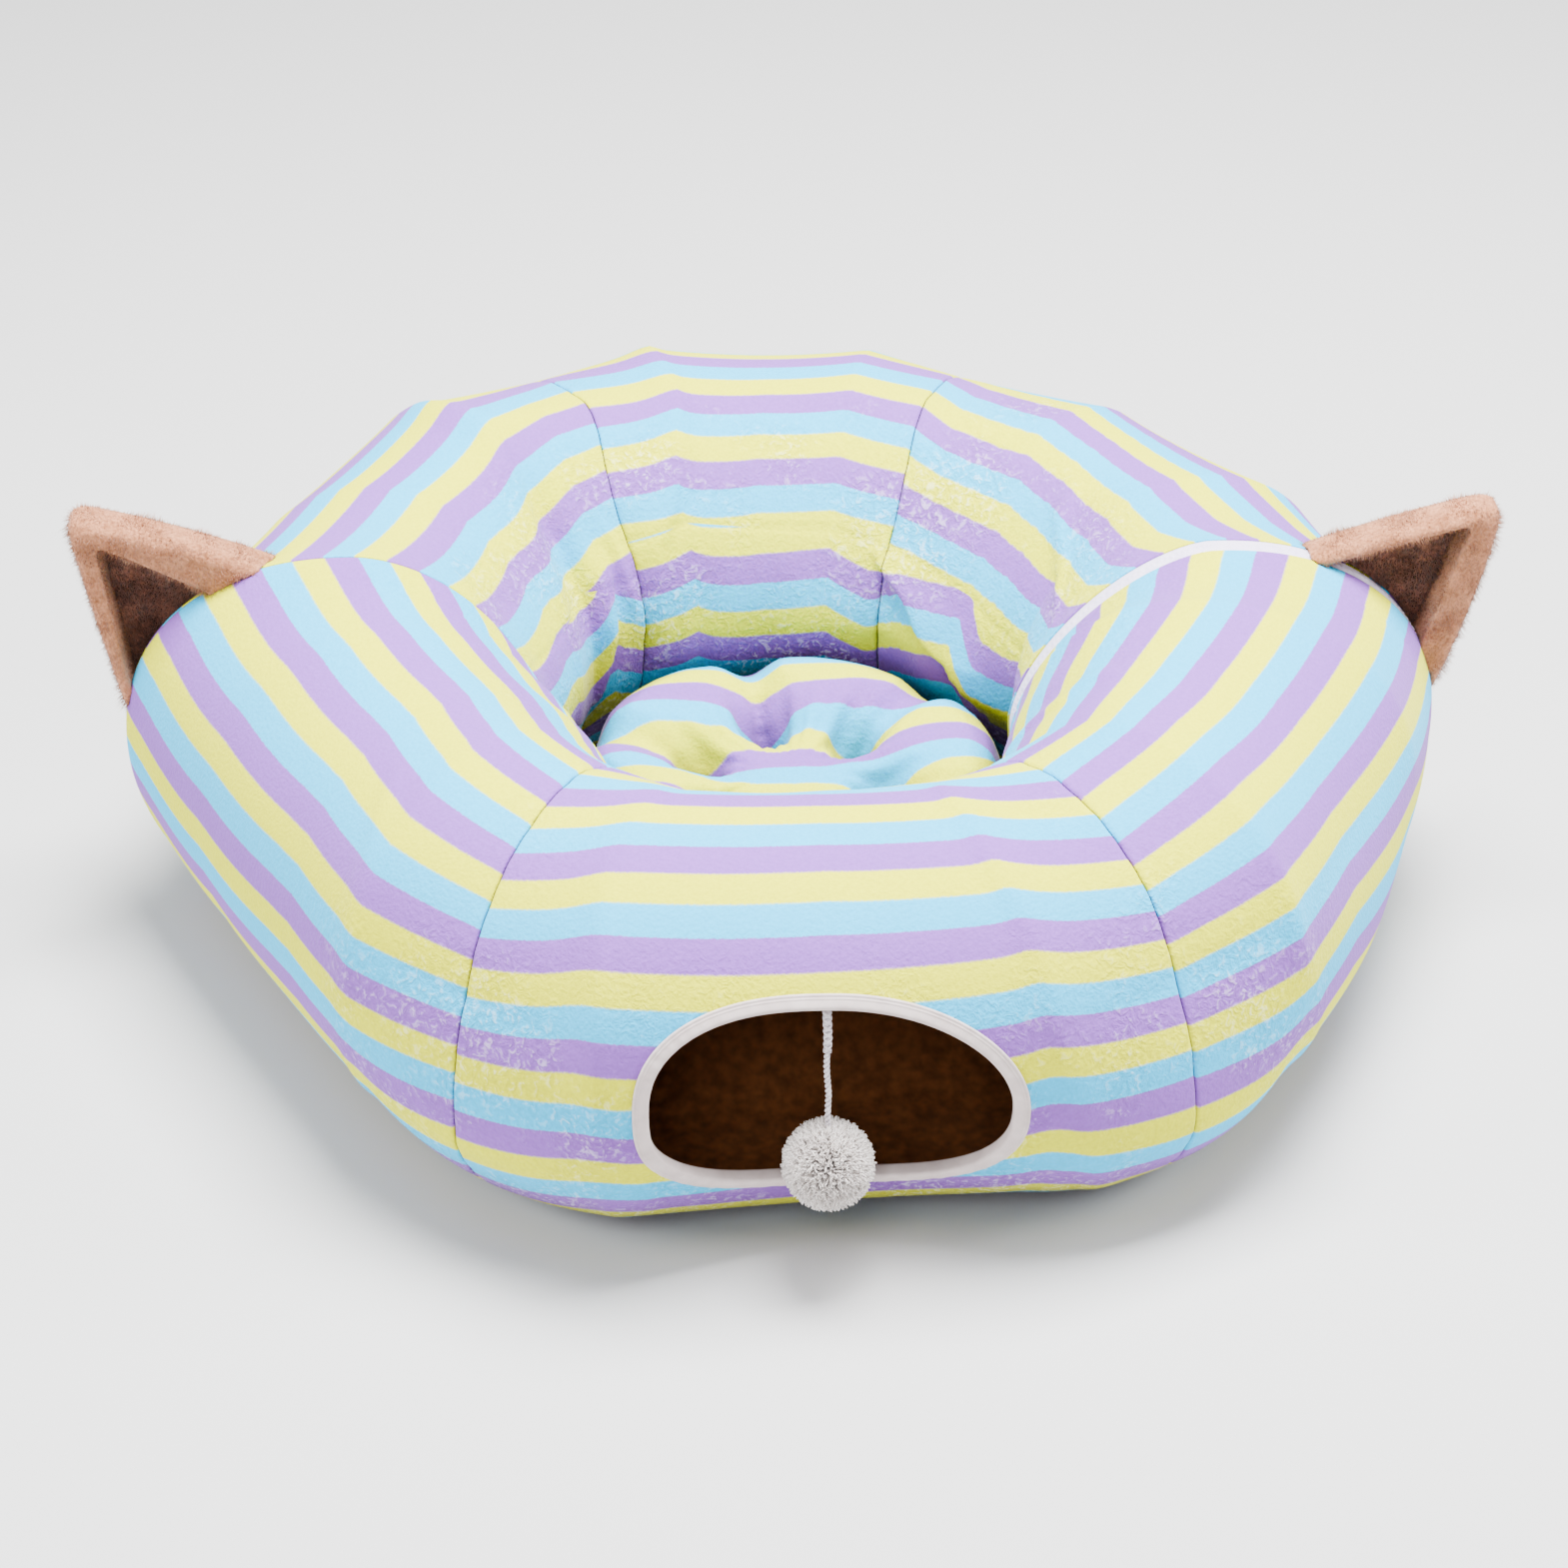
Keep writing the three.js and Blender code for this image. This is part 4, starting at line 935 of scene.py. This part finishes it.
# %% Ears
def fur(name, base, count, length, seed, keep=None):
    """Short hairs on a piece's surface: three-sided spikes that lie over in whorls and a little downwards."""
    dice = np.random.default_rng(seed)
    mesh = base.data
    mesh.calc_loop_triangles()
    points, _ = vertex_array(base)
    corners = np.empty(len(mesh.loop_triangles) * 3, int)
    mesh.loop_triangles.foreach_get("vertices", corners)
    triangle = points[corners.reshape(-1, 3)]
    cross = np.cross(triangle[:, 1] - triangle[:, 0], triangle[:, 2] - triangle[:, 0])
    area = np.linalg.norm(cross, axis=1)
    pick = dice.choice(len(area), count, p=area / area.sum())
    share = dice.random((count, 2)) ** np.array([0.5, 1])
    weight = np.stack([1 - share[:, 0], share[:, 0] * (1 - share[:, 1]), share[:, 0] * share[:, 1]], 1)
    root = (triangle[pick] * weight[..., None]).sum(1)
    up = cross[pick] / area[pick, None]
    if keep is not None:
        kept = keep(root)
        root, up = root[kept], up[kept]
    whorl = np.sin(root[:, [1, 2, 0]] * 210 + np.sin(root * 130) * 2)
    lean = dice.normal(0, 0.28, root.shape) + whorl * 0.45 + np.array([0, 0, -0.35])
    tip = root + (up * 0.75 + lean) * length * dice.uniform(0.5, 1.1, (len(root), 1))
    side = np.cross(up, dice.normal(0, 1, root.shape))
    side /= np.linalg.norm(side, axis=1, keepdims=True)
    width = 0.00016
    foot = root - up * 0.0003
    other = np.cross(up, side)
    blades = np.stack([foot + side * width, foot - side * width * 0.5 + other * width,
                       foot - side * width * 0.5 - other * width, tip], 1).reshape(-1, 3)
    k = np.arange(len(root))[:, None] * 4
    faces = np.concatenate([k + [0, 1, 3], k + [1, 2, 3], k + [2, 0, 3], k + [2, 1, 0]])
    return mesh_piece(name, blades, faces.tolist())


def join(target, *others):
    """Join other pieces into the target."""
    bpy.ops.object.select_all(action="DESELECT")
    for piece in (target, *others):
        piece.select_set(True)
    bpy.context.view_layer.objects.active = target
    bpy.ops.object.join()


for seed, side in enumerate(("left", "right"), 1):
    outer = soft_copy(f"ear_{side}_outer", f"ear_{side}_plush", 0.0014, 6)
    hairs = fur(f"ear_{side}_fur", outer, 17000, 0.0046, seed)
    join(outer, hairs)
    dress(outer, ear_plush, "ear_outer", f"ear_{side}_outer")
    inner = soft_copy(f"ear_{side}_inner", f"ear_{side}_dark_plush", 0.001, 3)
    hairs = fur(f"ear_{side}_dark_fur", inner, 10000, 0.0052, seed + 10)
    join(inner, hairs)
    dress(inner, ear_dark, "ear_inner", f"ear_{side}_inner")

# %% [markdown]
# ## Centre cushion
# A filled round cushion lies in the ring. Tufts pull its top down, and creases run from them to its
# rim between the lobes. The filling is a cloth simulation with a little pressure, pinned at the tufts
# and at the base, with each point's way capped; it puffs the lobes up and wrinkles them at the tufts.

# %% Cushion
TUFTS = [(0.062, angle) for angle in range(42, 402, 60)]


def tuft_distance(points):
    """Distance of each point from the nearest tuft, seen from above."""
    places = [(r * math.cos(math.radians(a)), r * math.sin(math.radians(a))) for r, a in TUFTS]
    return np.min([np.hypot(points[:, 0] - x, points[:, 1] - y) for x, y in places], axis=0)


def puff(piece, pressure, cap):
    """Swell a filled piece by cloth pressure, pinned at its base and tufts, no point further than cap."""
    before, _ = vertex_array(piece)
    pinned = np.where((before[:, 2] < 0.012) | ((tuft_distance(before) < 0.008) & (before[:, 2] > 0.03)))[0]
    group = piece.vertex_groups.new(name="pin")
    group.add(pinned.tolist(), 1.0, "REPLACE")
    cloth = piece.modifiers.new("Filling", "CLOTH")
    cloth.settings.vertex_group_mass = "pin"
    cloth.settings.use_pressure = True
    cloth.settings.uniform_pressure_force = pressure
    cloth.settings.effector_weights.gravity = 0
    cloth.settings.tension_stiffness = 15
    cloth.settings.bending_stiffness = 0.4
    for step in range(1, 21):
        bpy.context.scene.frame_set(step)
    shaped = piece.evaluated_get(bpy.context.evaluated_depsgraph_get())
    after = np.empty(len(before) * 3)
    shaped.data.vertices.foreach_get("co", after)
    piece.modifiers.remove(cloth)
    bpy.context.scene.frame_set(1)
    move = after.reshape(-1, 3) - before
    far = np.linalg.norm(move, axis=1, keepdims=True)
    set_vertices(piece, before + move * np.minimum(1, cap / np.maximum(far, 1e-9)))
    print(f"{piece.name}: puffed by up to {min(cap, float(far.max())) * 1000:.1f} mm")


def seam_creases(piece):
    """Sew the tufts in after the remesh: a narrow pit at each tuft with puckers running from it."""
    points, normals = vertex_array(piece)
    away = tuft_distance(points)
    top = smooth(points[:, 2], 0.05, 0.07)
    turn = np.degrees(np.arctan2(points[:, 1], points[:, 0]))
    pucker = 0.0009 * np.sin(np.radians(turn * 31)) * bump(away, 0.022, 0.014) * top
    pit = -0.004 * bump(away, 0, 0.006) * top
    set_vertices(piece, points + normals * (pucker + pit)[:, None])


cushion = soft_copy("cushion", "cushion_plush", 0.0052, 4)
points, normals = vertex_array(cushion)
set_vertices(cushion, points - normals * 0.0025 * smooth(points[:, 2], 0.004, 0.02)[:, None])
puff(cushion, 4.0, 0.007)
divide = cushion.modifiers.new("Finer", "SUBSURF")
divide.levels = divide.render_levels = 1
apply_modifier(cushion, divide)
seam_creases(cushion)


def lay_stripes(piece, start):
    """Stripes across the cushion from side to side: cloth measured from its middle line, to the front."""
    points, _ = vertex_array(piece)
    corners = np.empty(len(piece.data.loops), int)
    piece.data.loops.foreach_get("vertex_index", corners)
    drop = np.maximum(0, 0.118 - points[:, 2])
    across = points[:,
                    1] + np.sign(points[:, 1]) * drop * 0.6 * smooth(np.hypot(points[:, 0], points[:, 1]),
                        0.09, 0.13)
    flat = np.stack([points[:, 0], start - across], 1)[corners]
    piece.data.uv_layers.new(name="Cloth").data.foreach_set("uv", flat.astype(np.float32).ravel())
    mark_slack(piece, np.full(len(points), 0.3))


lay_stripes(cushion, 0.008)
dress(cushion, plush, "plush", "cushion")

# %% [markdown]
# ## Pompom
# Thousands of cut yarns stand out from a knot in all directions. Each is a thin curved strand with a
# slightly different length, and neighbouring ones lean a little together into fine tufts.

# %% Pompom
POMPOM = np.array([-0.0015, -0.390, 0.085])


def pompom_ball(count=4200, radius=0.0272):
    """Yarn strands from a core outwards: even directions, gathered into tufts, with uneven lengths."""
    dice = np.random.default_rng(7)
    k = np.arange(count) + 0.5
    polar, turn = np.arccos(1 - 2 * k / count), math.pi * (1 + 5 ** 0.5) * k
    way = np.stack([np.cos(turn) * np.sin(polar), np.sin(turn) * np.sin(polar), np.cos(polar)], 1)
    heads = dice.normal(0, 1, (240, 3))
    heads /= np.linalg.norm(heads, axis=1, keepdims=True)
    near = heads[np.argmax(way @ heads.T, axis=1)]
    bent = way * 0.9 + near * 0.1 + dice.normal(0, 0.04, way.shape)
    bent /= np.linalg.norm(bent, axis=1, keepdims=True)
    length = radius * dice.uniform(0.92, 1.04, (count, 1))
    curl = dice.normal(0, 0.0012, (count, 3))
    thick = np.array([0.0006, 0.00072, 0.0007, 0.00038])
    share = np.linspace(0.5, 1, len(thick))[None, :, None]
    lerp = way[:, None] * (1 - share) + bent[:, None] * share
    lerp /= np.linalg.norm(lerp, axis=2, keepdims=True)
    paths = POMPOM + lerp * length[:, None] * share + curl[:, None] * np.sin(share * math.pi * 3)
    sides = 4
    one = np.cross(way, [0.3, 0.5, 0.8])
    one /= np.linalg.norm(one, axis=1, keepdims=True)
    two = np.cross(way, one)
    angle = np.arange(sides) * 2 * math.pi / sides
    circle = np.cos(angle)[:, None] * one[:, None] + np.sin(angle)[:, None] * two[:, None]
    points = paths[:, :, None] + circle[:, None] * thick[None, :, None, None]
    quads, _ = grid(len(thick), sides, wrap=True)
    base = (np.arange(count) * len(thick) * sides)[:, None]
    walls = (base[:, :, None] + quads[None]).reshape(-1, 4)
    feet = base + np.arange(sides)[::-1]
    tips = base + (len(thick) - 1) * sides + np.arange(sides)
    return mesh_piece("pompom_yarn", points.reshape(-1, 3), walls.tolist() + feet.tolist() + tips.tolist())


pompom = pompom_ball()
face_outwards(pompom)
dress(pompom, pompom_yarn, "pompom", "pompom")

# %% [markdown]
# ## Panel ends
# The panels and the lining are sheets, the cushion is filled and the cord carries the pompom. The loop
# below only looks up each panel's start and end turn in the table and does nothing more with them.

# %% Panel ends
for name, (piece, area) in panels.items():
    start, end = next((row[1], row[2]) for row in PANELS if row[0] == name)

# %% [markdown]
# ## Floor and light
# A pale seamless floor and large soft lights from above, as in a product photograph.

# %% Floor and light
floor = mesh_piece("floor", [(-6, -6, -0.0005), (6, -6, -0.0005), (6, 6, -0.0005), (-6, 6, -0.0005)],
                   [[0, 1, 2, 3]])
paper, tree, surface = cloth_material("White paper sweep", 0.8, 0.0)
surface.inputs["Base Color"].default_value = srgb("#CCCCCC")
floor.data.materials.append(paper)


def soft_light(name, place, aim, size, power):
    """A square area light that points at a place."""
    lamp = bpy.data.objects.new(name, bpy.data.lights.new(name, "AREA"))
    bpy.context.scene.collection.objects.link(lamp)
    lamp.location = place
    lamp.rotation_euler = (Vector(aim) - Vector(place)).to_track_quat("-Z", "Y").to_euler()
    lamp.data.size, lamp.data.energy = size, power


soft_light("Key", (0.3, 0.1, 2.7), (0, 0, 0.1), 1.4, 380)
soft_light("Front", (-0.4, -2.4, 1.9), (0, 0, 0.1), 1.2, 24)
soft_light("Right", (2.3, -0.5, 1.5), (0, 0, 0.1), 1.0, 70)
soft_light("Left", (-2.3, -0.7, 1.4), (0, 0, 0.1), 1.0, 75)
world = bpy.data.worlds.new("Studio")
world.use_nodes = True
world.node_tree.nodes["Background"].inputs["Color"].default_value = (1, 1, 1, 1)
world.node_tree.nodes["Background"].inputs["Strength"].default_value = 0.3
bpy.context.scene.world = world
